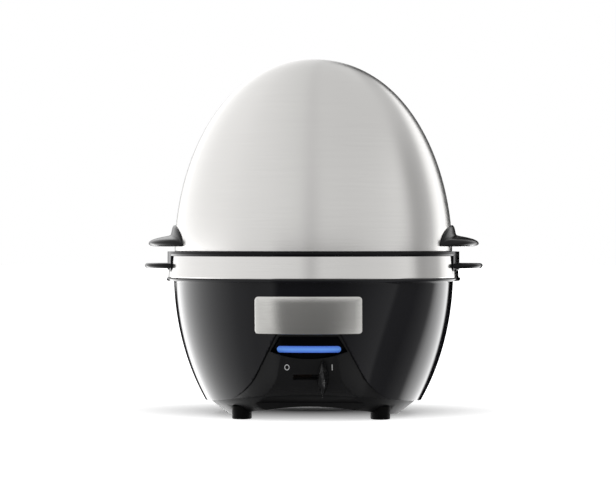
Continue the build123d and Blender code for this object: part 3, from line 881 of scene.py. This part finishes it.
@dataclass
class LidHandle:
    """Handle on the dome, drawn as sections round it; sizes in millimetres.

    Attributes:
        lid: Lid that carries it.
        half_width: Half its width on the dome.
        reach: From the cooker's axis to the tip of the grip.
        low: Height of its underside.
        rise: Height of the fin above that.
        root: Height of the grip at its root.
        tip: Height of the grip at its tip.
        fin: Thickness of the fin.
        arch: Power that rounds the fin's top from end to end.
        last: Share of the half width at which the end sections lie.
        snug: Rounding of the lower edge at the dome.
        crest: How much lower the fin's outer edge is than its inner one.
        gap: Gap to the dome.
        turns: How many sections lie each side of the middle.
    """

    lid: Lid
    half_width: float = 33.5
    reach: float = 93.9
    low: float = 94.6
    rise: float = 12.2
    root: float = 6.2
    tip: float = 3.5
    fin: float = 2.3
    arch: float = 2.5
    last: float = 0.99
    snug: float = 0.3
    crest: float = 0.1
    gap: float = 0.05
    turns: int = 12

    def skin(self, height: float) -> float:
        """Radius of the handle's inner side at a height above its underside."""
        return self.lid.reach(self.low + height) + self.gap

    def stretch(self, turn: float) -> float:
        """Finds how far the grip stands out, in plan an arc from end to end.

        Args:
            turn: Turn from the handle's middle in radians.

        Returns:
            The distance from the dome.
        """
        chord = math.sqrt(self.skin(0) ** 2 - self.half_width**2)
        sag = self.reach - chord
        radius = (self.half_width**2 + sag**2) / (2 * sag)
        middle = self.reach - radius
        return middle * math.cos(turn) + math.sqrt(radius**2 - (middle * math.sin(turn)) ** 2) - self.skin(0)

    def section(self, turn: float, share: float) -> list[Vector]:
        """Draws a section of the handle.

        Args:
            turn: Turn of the section from the handle's middle in radians.
            share: Share of the half width at which it lies.

        Returns:
            Its corners in metres.
        """
        full = math.sqrt(1 - abs(share) ** self.arch)
        out = self.stretch(turn)
        grow = out / self.stretch(0)
        top = self.rise * full
        nose = min(self.tip, 0.5 * top)
        root = min(self.tip + (self.root - self.tip) * grow, 0.6 * top)
        blunt = min(nose, 0.2 * out)
        snug = min(self.snug, 0.1 * out)
        thick = self.fin * full
        edge = self.skin(0)
        foot = root + 0.12 * (top - root)
        outline = [
            (edge, snug),
            (edge + snug, 0),
            (edge + 0.5 * out, 0),
            (edge + out - 1.6 * blunt, 0),
            (edge + out - 0.4 * blunt, 0.1 * nose),
            (edge + out, 0.5 * nose),
            (edge + out - 0.4 * blunt, 0.95 * nose),
            (edge + 0.75 * out, nose + 0.34 * (root - nose)),
            (edge + 0.45 * out, nose + 0.76 * (root - nose)),
            (self.skin(root) + thick + 0.6 * grow, root),
            (self.skin(foot) + thick, foot),
            (self.skin(0.85 * top) + 0.9 * thick, 0.85 * top),
            (self.skin(top) + 0.6 * thick, top - self.crest),
            (self.skin(top), top),
            (self.skin(0.9 * top), 0.9 * top),
            (self.skin(0.45 * top), 0.45 * top),
        ]
        way = Vector((math.cos(turn), math.sin(turn), 0))
        return [(way * radius + Vector((0, 0, self.low + height))) * MM for radius, height in outline]

    def form(self, name: str) -> Object:
        """Lofts the right handle from end to end and smooths it.

        Args:
            name: Name of the new piece.

        Returns:
            The handle.
        """
        limit = self.half_width / self.skin(0)
        steps = range(-self.turns, self.turns + 1)
        shares = [self.last * math.sin(math.pi / 2 * step / self.turns) for step in steps]
        piece = loft(name, [self.section(math.asin(limit * share), share) for share in shares])
        apply_modifier(piece, "SUBSURF", levels=2, render_levels=2)
        pick(piece)
        bpy.ops.object.shade_smooth()
        return piece


@dataclass
class Base:
    """Gloss bowl with its steel band, pan and feet; sizes in millimetres.

    Attributes:
        radius: Radius of the bowl at its waist.
        waist: Height of the waist.
        depth: Depth of the bowl's ellipse below the waist.
        wall: Thickness of the bowl.
        low: Height at which the spun wall starts.
        rings: Steps up the wall.
        steps: Steps round the bowl and the band.
        bead: Radius, lowest and highest height of the bead under the band.
        bead_round: Rounding of the bead's lower edge.
        rim_round: Rounding of the bead's upper edge, the collar and the cut edges.
        collar: Outer and inner radius of the collar inside the band.
        ledge: Inner radius and height of the ledge under the dish.
        band: Outer radius, wall and top of the steel band.
        band_lean: How much narrower the band is at its top.
        band_round: Rounding of the band's spun edges.
        band_curl: Height over which the band stands upright at each end.
        notch_round: Rounding of the band's cut edges.
        notch: Width, depth and corner of a handle notch.
        seam: Crest height, radius and half angle of the arch at the bowl's lower edge.
        seam_foot: X and Z of the lower corner of the tool that cuts the arch.
        gland: Height and radius of the hole for the cord gland.
        pan_round: Rounding of the pan's edges.
        tray_round: Rounding of the tray's edges.
        foot_round: Rounding of the feet's edges.
    """

    radius: float = 79.0
    waist: float = 81.3
    depth: float = 114.5
    wall: float = 2.4
    low: float = 2.0
    rings: int = 70
    steps: int = 288
    bead: tuple[float, float, float] = (82.9, 75.4, 77.2)
    bead_round: float = 0.5
    rim_round: float = 0.3
    collar: tuple[float, float] = (81.1, 78.6)
    ledge: tuple[float, float] = (74.4, 74.6)
    band: tuple[float, float, float] = (82.0, 0.8, 89.5)
    band_lean: float = 0.5
    band_round: float = 0.2
    band_curl: float = 0.8
    notch_round: float = 0.12
    notch: tuple[float, float, float] = (52.0, 8.3, 1.0)
    seam: tuple[float, float, float] = (14.4, 312.0, 18.0)
    seam_foot: tuple[float, float] = (96.0, -40.0)
    gland: tuple[float, float] = (28.0, 6.1)
    pan_round: float = 0.4
    tray_round: float = 0.3
    foot_round: float = 0.5

    def reach(self, height: float, inset: float) -> float:
        """Radius of the bowl's surface at a height, moved inwards by inset."""
        drop = (self.waist - height) / (self.depth - inset)
        return (self.radius - inset) * math.sqrt(1 - drop**2)

    def notches(self) -> Object:
        """Makes the tool for the two handle notches.

        Returns:
            The tool, with round lower corners.
        """
        width, deep, corner = self.notch
        top = self.band[2]
        half = width / 2
        right = arc((half - corner, top - deep + corner), corner, -90, 0, 6)
        left = [(-x, z) for x, z in reversed(right)]
        tool = prism("notch_tool", [*left, *right, (half, top + deep), (-half, top + deep)], -BEYOND, BEYOND)
        with editing(tool):
            bpy.ops.transform.rotate(value=math.pi / 2, orient_axis="Z", center_override=(0, 0, 0))
        return tool

    def seam_tool(self) -> Object:
        """Makes the tool that arches the bowl's lower edge.

        Returns:
            The tool.
        """
        crest, radius, turn = self.seam
        top = arc((0, crest - radius), radius, 90 + turn, 90 - turn, 90)
        half, low = self.seam_foot
        return prism("seam_tool", [*top, (half, low), (-half, low)], -BEYOND, BEYOND)

    def gland_tool(self) -> Object:
        """Makes the tool for the gland's hole at the back.

        Returns:
            The tool, square to the bowl there.
        """
        height, radius = self.gland
        lean = math.atan((self.reach(height + 1, 0) - self.reach(height - 1, 0)) / 2)
        return begin(
            "gland_tool",
            bpy.ops.mesh.primitive_cylinder_add,
            vertices=64,
            radius=radius * MM,
            depth=4 * radius * MM,
            location=Vector((0, self.reach(height, 0), height)) * MM,
            rotation=(math.pi / 2 - lean, 0, 0),
        )

    def shell(self, opening: Object) -> Object:
        """Spins the bowl and cuts its arch, notches, gland hole and the opening for the fascia.

        Args:
            opening: Tool for that opening.

        Returns:
            The bowl.
        """
        bead_radius, bead_low, bead_top = self.bead
        collar_out, collar_in = self.collar
        ledge_in, ledge_low = self.ledge
        top = self.band[2]
        rounding = self.rim_round
        heights = [self.low + (bead_low - self.low) * index / self.rings for index in range(self.rings + 1)]
        outer = [(self.reach(height, 0), height) for height in heights]
        inner = [(self.reach(height, self.wall), height) for height in heights if height < ledge_low]
        bead = [
            (bead_radius - self.bead_round, bead_low),
            (bead_radius - 0.3 * self.bead_round, bead_low + 0.3 * self.bead_round),
            (bead_radius, bead_low + self.bead_round),
            (bead_radius, bead_top - rounding),
            (bead_radius - rounding, bead_top),
        ]
        inside = [
            (collar_out, bead_top),
            (collar_out, top - rounding),
            (collar_out - rounding, top),
            (collar_in + rounding, top),
            (collar_in, top - rounding),
            (collar_in, bead_top),
            (ledge_in, bead_top),
            (ledge_in, ledge_low),
        ]
        piece = lathe("bowl_gloss_shell", [*outer, *bead, *inside, *reversed(inner), outer[0]], self.steps)
        cut(piece, self.notches())
        cut(piece, self.seam_tool())
        cut(piece, self.gland_tool())
        cut(piece, opening)
        soften(piece, rounding)
        return piece

    def steel_band(self) -> Object:
        """Spins the band and cuts its notches.

        Returns:
            The band.
        """
        radius, wall, top = self.band
        low = self.bead[2]
        inner = radius - wall
        rounding = self.band_round
        outline = [
            (inner, low),
            (radius - rounding, low),
            (radius, low + rounding),
            (radius - 0.05 * self.band_lean, low + self.band_curl),
            (radius - 0.95 * self.band_lean, top - self.band_curl),
            (radius - self.band_lean, top - rounding),
            (radius - self.band_lean - rounding, top),
            (inner, top),
            (inner, low),
        ]
        piece = lathe("trim_band_ring", outline, self.steps)
        cut(piece, self.notches())
        soften(piece, self.notch_round)
        return piece

    def build(self, fitter: Fitter, opening: Object) -> None:
        """Builds and fits the base's pieces.

        Args:
            fitter: Puts them into the frame.
            opening: Tool for the opening that the fascia fills.
        """
        shell = self.shell(opening)
        fitter.replace(shell, "bowl_shell")
        fitter.replace(Badge().form(shell), "badge_plate")
        fitter.replace(self.steel_band(), "trim_band", "band_steel")
        fitter.replace(refined("base_pan", self.pan_round), "base_pan", "pan_black")
        fitter.replace(refined("egg_tray", self.tray_round), "egg_tray", "tray_black")
        for row in ("front", "rear"):
            for side in Side:
                node = f"foot_{row}_{side.value}"
                fitter.replace(refined(node, self.foot_round), node)


@dataclass
class Badge:
    """Bare plate laid round the bowl; sizes in millimetres.

    Attributes:
        width: Width of the plate.
        height: Height of the plate.
        low: Height of its lower edge.
        corner: Radius of its corners.
        thick: Thickness.
        gap: Gap to the bowl.
        rounding: Rounding of the outer edges.
        sharp: Turn in degrees from which an edge is rounded.
        crease: Turn in degrees from which an edge stays sharp to the light.
        strips: X at which the sheet may bend, and Z from its middle.
    """

    width: float = 56.4
    height: float = 20.0
    low: float = 48.3
    corner: float = 2.0
    thick: float = 1.55
    gap: float = 0.05
    rounding: float = 0.4
    sharp: float = 60.0
    crease: float = 50.0
    strips: tuple[Sequence[float], Sequence[float]] = (range(-24, 25, 2), range(-6, 7, 3))

    def sheet(self, bowl: Object) -> Object:
        """Cuts the sheet with round corners and lays it on the bowl.

        Args:
            bowl: Shell that carries it.

        Returns:
            The sheet, facing out.
        """
        piece = begin("badge_plate_bare", bpy.ops.mesh.primitive_plane_add, size=MM)
        with editing(piece):
            bpy.ops.transform.resize(value=(self.width, self.height, 1))
            bpy.ops.mesh.bevel(affect="VERTICES", offset=self.corner * MM, segments=6)
            for way, places in zip((Vector((1, 0, 0)), Vector((0, 1, 0))), self.strips):
                for place in places:
                    bpy.ops.mesh.select_all(action="SELECT")
                    bpy.ops.mesh.bisect(plane_co=way * place * MM, plane_no=way)
        stand_up(piece, Vector((0, -BEYOND, self.low + self.height / 2)))
        lay_on(piece, bowl, self.gap)
        if piece.data.polygons[0].normal.y > 0:
            with editing(piece):
                bpy.ops.mesh.flip_normals()
        return piece

    def form(self, bowl: Object) -> Object:
        """Gives the sheet its thickness and round edges.

        Args:
            bowl: Shell that carries the plate.

        Returns:
            The plate.
        """
        piece = self.sheet(bowl)
        apply_modifier(piece, "SOLIDIFY", thickness=self.thick * MM, offset=1.0)
        with editing(piece):
            bpy.ops.mesh.select_mode(type="EDGE")
            bpy.ops.mesh.select_all(action="DESELECT")
            bpy.ops.mesh.edges_select_sharp(sharpness=math.radians(self.sharp))
            bpy.ops.mesh.bevel(affect="EDGES", offset=self.rounding * MM, segments=3)
        shade(piece, self.crease)
        return piece


@dataclass
class Controls:
    """Fascia with window, light bar, lever and its two marks; sizes in millimetres.

    Attributes:
        top: Height and half width of the fascia's top.
        knee: Height and half width where its edge begins to flare.
        end: Height and lean in degrees where the flare ends.
        flare_steps: Steps along the flare.
        foot: Height at which the tool for the fascia's opening ends.
        clearance: Gap between fascia and bowl.
        mark_places: X of the marks beside the slot, off and on.
        mark_height: Height of their middle.
        mark_size: Their size upwards.
        mark_stroke: Width of their lines.
        ring_share: Width of the off mark's ring as a share of its height.
        paint: Thickness of the paint.
        lever_lean: How far the lever's face looks down, in degrees.
        ridge_shift: How far the lever's ridge lies beside its middle.
        ridge_depth: How deep the ridge's front reaches into the lever.
        lever_round: Rounding of the lever's edges.
        rounding: Rounding of the other edges.
    """

    top: tuple[float, float] = (48.2, 17.0)
    knee: tuple[float, float] = (26.0, 28.5)
    end: tuple[float, float] = (9.5, 69.0)
    flare_steps: int = 24
    foot: float = -20.0
    clearance: float = 0.1
    mark_places: tuple[float, float] = (-11.8, 12.4)
    mark_height: float = 30.0
    mark_size: float = 3.2
    mark_stroke: float = 0.44
    ring_share: float = 0.84
    paint: float = 0.05
    lever_lean: float = 23.2
    ridge_shift: float = -1.2
    ridge_depth: float = 1.0
    lever_round: float = 0.4
    rounding: float = 0.3

    def edge(self) -> Outline:
        """Draws the right edge of the fascia from its top down the flare.

        Returns:
            The points.
        """
        top, top_half = self.top
        knee, knee_half = self.knee
        lean = math.atan((knee_half - top_half) / (top - knee))
        end_lean = math.radians(self.end[1])
        radius = (knee - self.end[0]) / (math.sin(end_lean) - math.sin(lean))
        points = [(top_half, top)]
        for index in range(self.flare_steps + 1):
            turn = lean + (end_lean - lean) * index / self.flare_steps
            half = knee_half + radius * (math.cos(lean) - math.cos(turn))
            points.append((half, knee - radius * (math.sin(turn) - math.sin(lean))))
        return points

    def opening(self) -> Object:
        """Makes the tool for the opening in the bowl that the fascia fills.

        Returns:
            The tool.
        """
        right = [(x + self.clearance, z) for x, z in self.edge()]
        right[0] = (right[0][0], self.top[0] + self.clearance)
        right.append((right[-1][0], self.foot))
        left = [(-x, z) for x, z in reversed(right)]
        return prism("opening_tool", [*right, *left], -BEYOND, 0)

    def ring(self) -> Object:
        """Makes a flat ring for the off mark.

        Returns:
            The ring, lying at the origin.
        """
        half = self.mark_size / 2
        piece = begin("off_mark", bpy.ops.mesh.primitive_circle_add, vertices=48, radius=half * MM)
        with editing(piece):
            share = 1 - self.mark_stroke / half
            bpy.ops.mesh.extrude_edges_move()
            bpy.ops.transform.resize(value=(share, share, 1))
            bpy.ops.mesh.select_all(action="SELECT")
            bpy.ops.transform.resize(value=(self.ring_share, 1, 1))
        return piece

    def bar(self) -> Object:
        """Makes a flat bar for the on mark.

        Returns:
            The bar, lying at the origin.
        """
        piece = begin("on_mark", bpy.ops.mesh.primitive_plane_add, size=self.mark_size * MM)
        with editing(piece):
            bpy.ops.mesh.subdivide(number_cuts=7)
            bpy.ops.transform.resize(value=(self.mark_stroke / self.mark_size, 1, 1))
        return piece

    def lay(self, piece: Object, x: float, panel: Object) -> Object:
        """Stands a flat mark up before the panel and lays it on as a coat of paint.

        Args:
            piece: Flat mark at the origin.
            x: Where it goes along X, in millimetres.
            panel: Piece that carries it.

        Returns:
            The same mark on the panel.
        """
        stand_up(piece, Vector((x, -BEYOND, self.mark_height)))
        lay_on(piece, panel, self.paint)
        apply_modifier(piece, "SOLIDIFY", thickness=self.paint * MM, offset=0.0)
        with editing(piece):
            close_up()
        return piece

    def lever(self) -> Object:
        """Copies the lever and moves its ridge aside, so that the lit flank is the wider one.

        Returns:
            The lever.
        """
        piece = copied("switch_lever")
        lean = math.radians(self.lever_lean)
        way = Vector((0, -math.cos(lean), -math.sin(lean)))
        heights = [vertex.co.dot(way) for vertex in piece.data.vertices]
        front = max(heights) - self.ridge_depth * MM
        with editing(piece):
            bpy.ops.mesh.select_all(action="DESELECT")
            bpy.ops.object.mode_set(mode="OBJECT")
            for vertex, height in zip(piece.data.vertices, heights):
                vertex.select = height > front
            bpy.ops.object.mode_set(mode="EDIT")
            bpy.ops.transform.translate(value=(self.ridge_shift * MM, 0, 0))
        soften(piece, self.lever_round)
        return piece

    def build(self, fitter: Fitter) -> None:
        """Builds and fits the controls.

        Args:
            fitter: Puts them into the frame.
        """
        panel = refined("control_fascia", self.rounding)
        off, on = self.mark_places
        fitter.attach(self.lay(self.ring(), off, panel), "control_fascia", "legend_paint")
        fitter.attach(self.lay(self.bar(), on, panel), "control_fascia", "legend_paint")
        fitter.replace(panel, "control_fascia")
        for node in ("indicator_window", "light_bar"):
            fitter.replace(refined(node, self.rounding), node)
        fitter.replace(self.lever(), "switch_lever", "lever_black")


@dataclass
class Studio:
    """Camera, surroundings and floor; sizes in millimetres and degrees.

    The mirror angle of a direction is twice the turn of a surface that mirrors it to the front. For a level
    direction that is its azimuth.

    Attributes:
        distance: From the cooker's axis to the camera.
        height: Of the camera above the table.
        turn: How far the camera stands towards the cooker's right side.
        aside: How far the camera stands left of the line to the axis.
        lens: Focal length.
        low_levels: Brightness of the surroundings below the horizon, by mirror angle.
        high_levels: Brightness of the surroundings above it, by mirror angle.
        lean: How far the low softbox on the right leans to the front as it goes down.
        ground: Brightness of the surroundings straight below.
        overhead: Brightness of the surroundings overhead on the right.
        overhead_rise: Upward share of a direction from which that begins, and where it is full.
        overhead_side: Sideways share from which it begins, and where it is full.
        edge_turn: Backward share at which the dark card behind the cooker begins, and where it is full.
        edge_side: Sideways share at which that card begins, and where it is full.
        horizon: Upward share at which the low surroundings end, and where the high ones are full.
        nadir: Upward share at which the ground begins, and where it is full.
        brightest: Level that the ramps take as white.
        ambient: Level of the light from all round.
        floor_radius: Radius of the floor.
        floor_shade: Linear grey of the floor.
        shadow_middle: Middle of the painted shadow, where the floor is darkest.
        shadow_reach: From how far off that place the painted glow brightens the floor, and where it is white.
        shadow_share: Share at which distances along X count for that.
    """

    distance: float = 1200.0
    height: float = 96.0
    turn: float = 2.2
    aside: float = 3.06
    lens: float = 123.9
    low_levels: tuple[tuple[float, float], ...] = (
        (-180, 0.02), (-153, 0.02), (-147, 5.0), (-141, 5.0), (-135, 4.6), (-129, 4.0), (-109, 3.1),
        (-96, 2.5), (-84, 1.9), (-64, 1.0), (-48, 0.76), (-32, 0.84), (-26, 0.2), (0, 0.17),
        (16, 0.17), (28, 0.22), (42, 0.4), (77, 0.98), (81, 0.42), (100, 0.3), (120, 0.68),
        (124, 2.1), (129, 3.2), (148, 4.7), (152, 0.005), (180, 0.005),
    )
    high_levels: tuple[tuple[float, float], ...] = (
        (-180, 0.5), (-162, 0.5), (-156, 1.5), (-138, 1.48), (-125, 1.34), (-117, 1.28), (-105, 1.2),
        (-92, 1.16), (-78, 1.13), (-57, 1.04), (-33, 0.98), (-9, 0.91), (0, 0.67), (9, 0.87),
        (35, 0.835), (60, 0.875), (80, 0.98), (86, 0.85), (92, 0.54), (98, 0.48), (112, 0.58),
        (119, 0.7), (125, 1.2), (132, 1.5), (142, 1.6), (149, 1.5), (152, 0.02), (180, 0.02),
    )
    lean: float = 0.14
    ground: float = 0.2
    overhead: float = 0.8
    overhead_rise: tuple[float, float] = (0.35, 0.75)
    overhead_side: tuple[float, float] = (-0.75, 0.75)
    edge_turn: tuple[float, float] = (0.86, 0.9)
    edge_side: tuple[float, float] = (0.0, 0.08)
    horizon: tuple[float, float] = (-0.05, -0.012)
    nadir: tuple[float, float] = (-0.66, -0.85)
    brightest: float = 5.0
    ambient: float = 0.9
    floor_radius: float = 8000.0
    floor_shade: float = 0.86
    shadow_middle: tuple[float, float, float] = (0.0, 30.0, 0.0)
    shadow_reach: tuple[float, float] = (10.0, 110.0)
    shadow_share: float = 0.5

    def camera(self) -> None:
        """Makes the camera, level and on the photograph's line of sight."""
        turn = math.radians(self.turn)
        back = Vector((math.sin(turn), -math.cos(turn), 0))
        right = Vector((math.cos(turn), math.sin(turn), 0))
        place = back * self.distance - right * self.aside + Vector((0, 0, self.height))
        data = bpy.data.cameras.new("front_camera")
        data.lens = self.lens
        data.sensor_width = 36.0
        data.clip_start = 0.01
        data.clip_end = 100.0
        camera = bpy.data.objects.new("front_camera", data)
        camera.location = place * MM
        camera.rotation_euler = (-back).to_track_quat("-Z", "Y").to_euler()
        bpy.context.scene.collection.objects.link(camera)
        bpy.context.scene.camera = camera

    def ramp(self, build: Build, mirrored: NodeSocket, levels: Sequence[tuple[float, float]]) -> NodeSocket:
        """Makes a ramp of brightness.

        Args:
            build: Nodes of the surroundings.
            mirrored: Mirror angle of a direction, as a share of the full turn.
            levels: Mirror angles and the brightness at each.

        Returns:
            Brightness as a share of the brightest level.
        """
        node = build.add("ShaderNodeValToRGB", {0: mirrored})
        stops = node.color_ramp.elements
        while len(stops) < len(levels):
            stops.new(0.5)
        for stop, (angle, level) in zip(stops, levels):
            stop.position = (angle + 180) / 360
            stop.color = grey(level / self.brightest)
        return node.outputs[0]

    @staticmethod
    def step(build: Build, value: NodeSocket, ends: tuple[float, float]) -> NodeSocket:
        """Soft step of a direction's share, from 0 at one end to 1 at the other."""
        inputs = {"Value": value, "From Min": ends[0], "From Max": ends[1]}
        return build.add("ShaderNodeMapRange", inputs, interpolation_type="SMOOTHSTEP").outputs[0]

    def surroundings(self) -> None:
        """Makes the world: white to the camera, softboxes and cards to reflections, even light elsewhere."""
        world = bpy.data.worlds.new("studio_surroundings")
        world.use_nodes = True
        bpy.context.scene.world = world
        build = Build(world.node_tree)
        direction = build.add("ShaderNodeTexCoord").outputs["Generated"]
        way = build.add("ShaderNodeSeparateXYZ", {0: direction}).outputs
        turn = build.sum("ARCTAN2", way[0], build.sum("SUBTRACT", 1.0, way[1]))
        mirrored = build.sum("ADD", build.sum("DIVIDE", turn, math.pi), 0.5)
        side = build.sum("MULTIPLY", build.sum("MAXIMUM", way[0], 0.0), build.sum("MINIMUM", way[2], 0.0))
        leant = build.sum("MULTIPLY_ADD", side, -self.lean, mirrored)
        low = self.ramp(build, leant, self.low_levels)
        high = self.ramp(build, mirrored, self.high_levels)
        upward = self.step(build, way[2], self.overhead_rise)
        across = self.step(build, way[0], self.overhead_side)
        overhead = grey(self.overhead / self.brightest)
        high = build.mixed(build.sum("MULTIPLY", upward, across), high, overhead)
        edge = self.step(build, way[1], self.edge_turn)
        right = self.step(build, way[0], self.edge_side)
        high = build.mixed(build.sum("MULTIPLY", edge, right), high, grey(0))
        rise = self.step(build, way[2], self.horizon)
        underneath = self.step(build, way[2], self.nadir)
        low = build.mixed(underneath, low, grey(self.ground / self.brightest))
        boxes = build.mixed(rise, low, high)
        studio = build.add("ShaderNodeBackground", {"Color": boxes, "Strength": self.brightest})
        even = build.add("ShaderNodeBackground", {"Color": grey(1), "Strength": self.ambient})
        white = build.add("ShaderNodeBackground", {"Color": grey(1), "Strength": 1.0})
        glossy = build.add("ShaderNodeLightPath").outputs["Is Glossy Ray"]
        lit = build.add("ShaderNodeMixShader", {0: glossy, 1: even.outputs[0], 2: studio.outputs[0]})
        whole = build.add("ShaderNodeMixShader", {0: build.seen(), 1: lit.outputs[0], 2: white.outputs[0]})
        build.add("ShaderNodeOutputWorld", {"Surface": whole.outputs[0]})

    def floor(self) -> None:
        """Lays a pale floor that keeps the cooker's soft shadow and runs out to white. Its glow to the camera
        is painted shadow on top of the real one: weakest round a spot under the cooker and rising with
        distance from it, which sets how far the shadow reaches.
        """
        radius = self.floor_radius * MM
        circle = bpy.ops.mesh.primitive_circle_add
        piece = begin("studio_floor", circle, vertices=96, radius=radius, fill_type="NGON")
        material, build = new_material("pale_floor")
        # Painted shadow: the floor's glow to the camera grows with distance from a spot under the cooker, so
        # the floor is darkest there and white further off; the real shadow shows only where that glow is
        # weak.
        place = build.add("ShaderNodeTexCoord").outputs["Object"]
        middle = tuple(Vector(self.shadow_middle) * MM)
        shares = (self.shadow_share, 1.0, 1.0)
        drawn = build.add("ShaderNodeVectorMath", {0: place, 1: shares}, operation="MULTIPLY").outputs[0]
        away = build.add("ShaderNodeVectorMath", {0: drawn, 1: middle}, operation="DISTANCE").outputs["Value"]
        reach = {"Value": away, "From Min": self.shadow_reach[0] * MM, "From Max": self.shadow_reach[1] * MM}
        far = build.add("ShaderNodeMapRange", reach).outputs[0]
        build.surface(
            {
                "Base Color": grey(self.floor_shade),
                "Roughness": 0.9,
                "Specular IOR Level": 0.0,
                "Emission Color": grey(1),
                "Emission Strength": build.sum("MULTIPLY", build.seen(), far),
            }
        )
        piece.data.materials.append(material)
        piece.visible_glossy = False

    def build(self) -> None:
        """Sets the stage."""
        self.camera()
        self.surroundings()
        self.floor()
        bpy.context.scene.view_settings.view_transform = "Standard"


def main() -> None:
    """Builds the cooker's looks around the frame and sets the stage."""
    logging.basicConfig(level=logging.INFO, format="%(message)s")
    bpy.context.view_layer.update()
    fitter = Fitter(Finishes())
    controls = Controls()
    Lid().build(fitter)
    Base().build(fitter, controls.opening())
    controls.build(fitter)
    fitter.dress_rest()
    Studio().build()


if __name__ == "__main__":
    main()
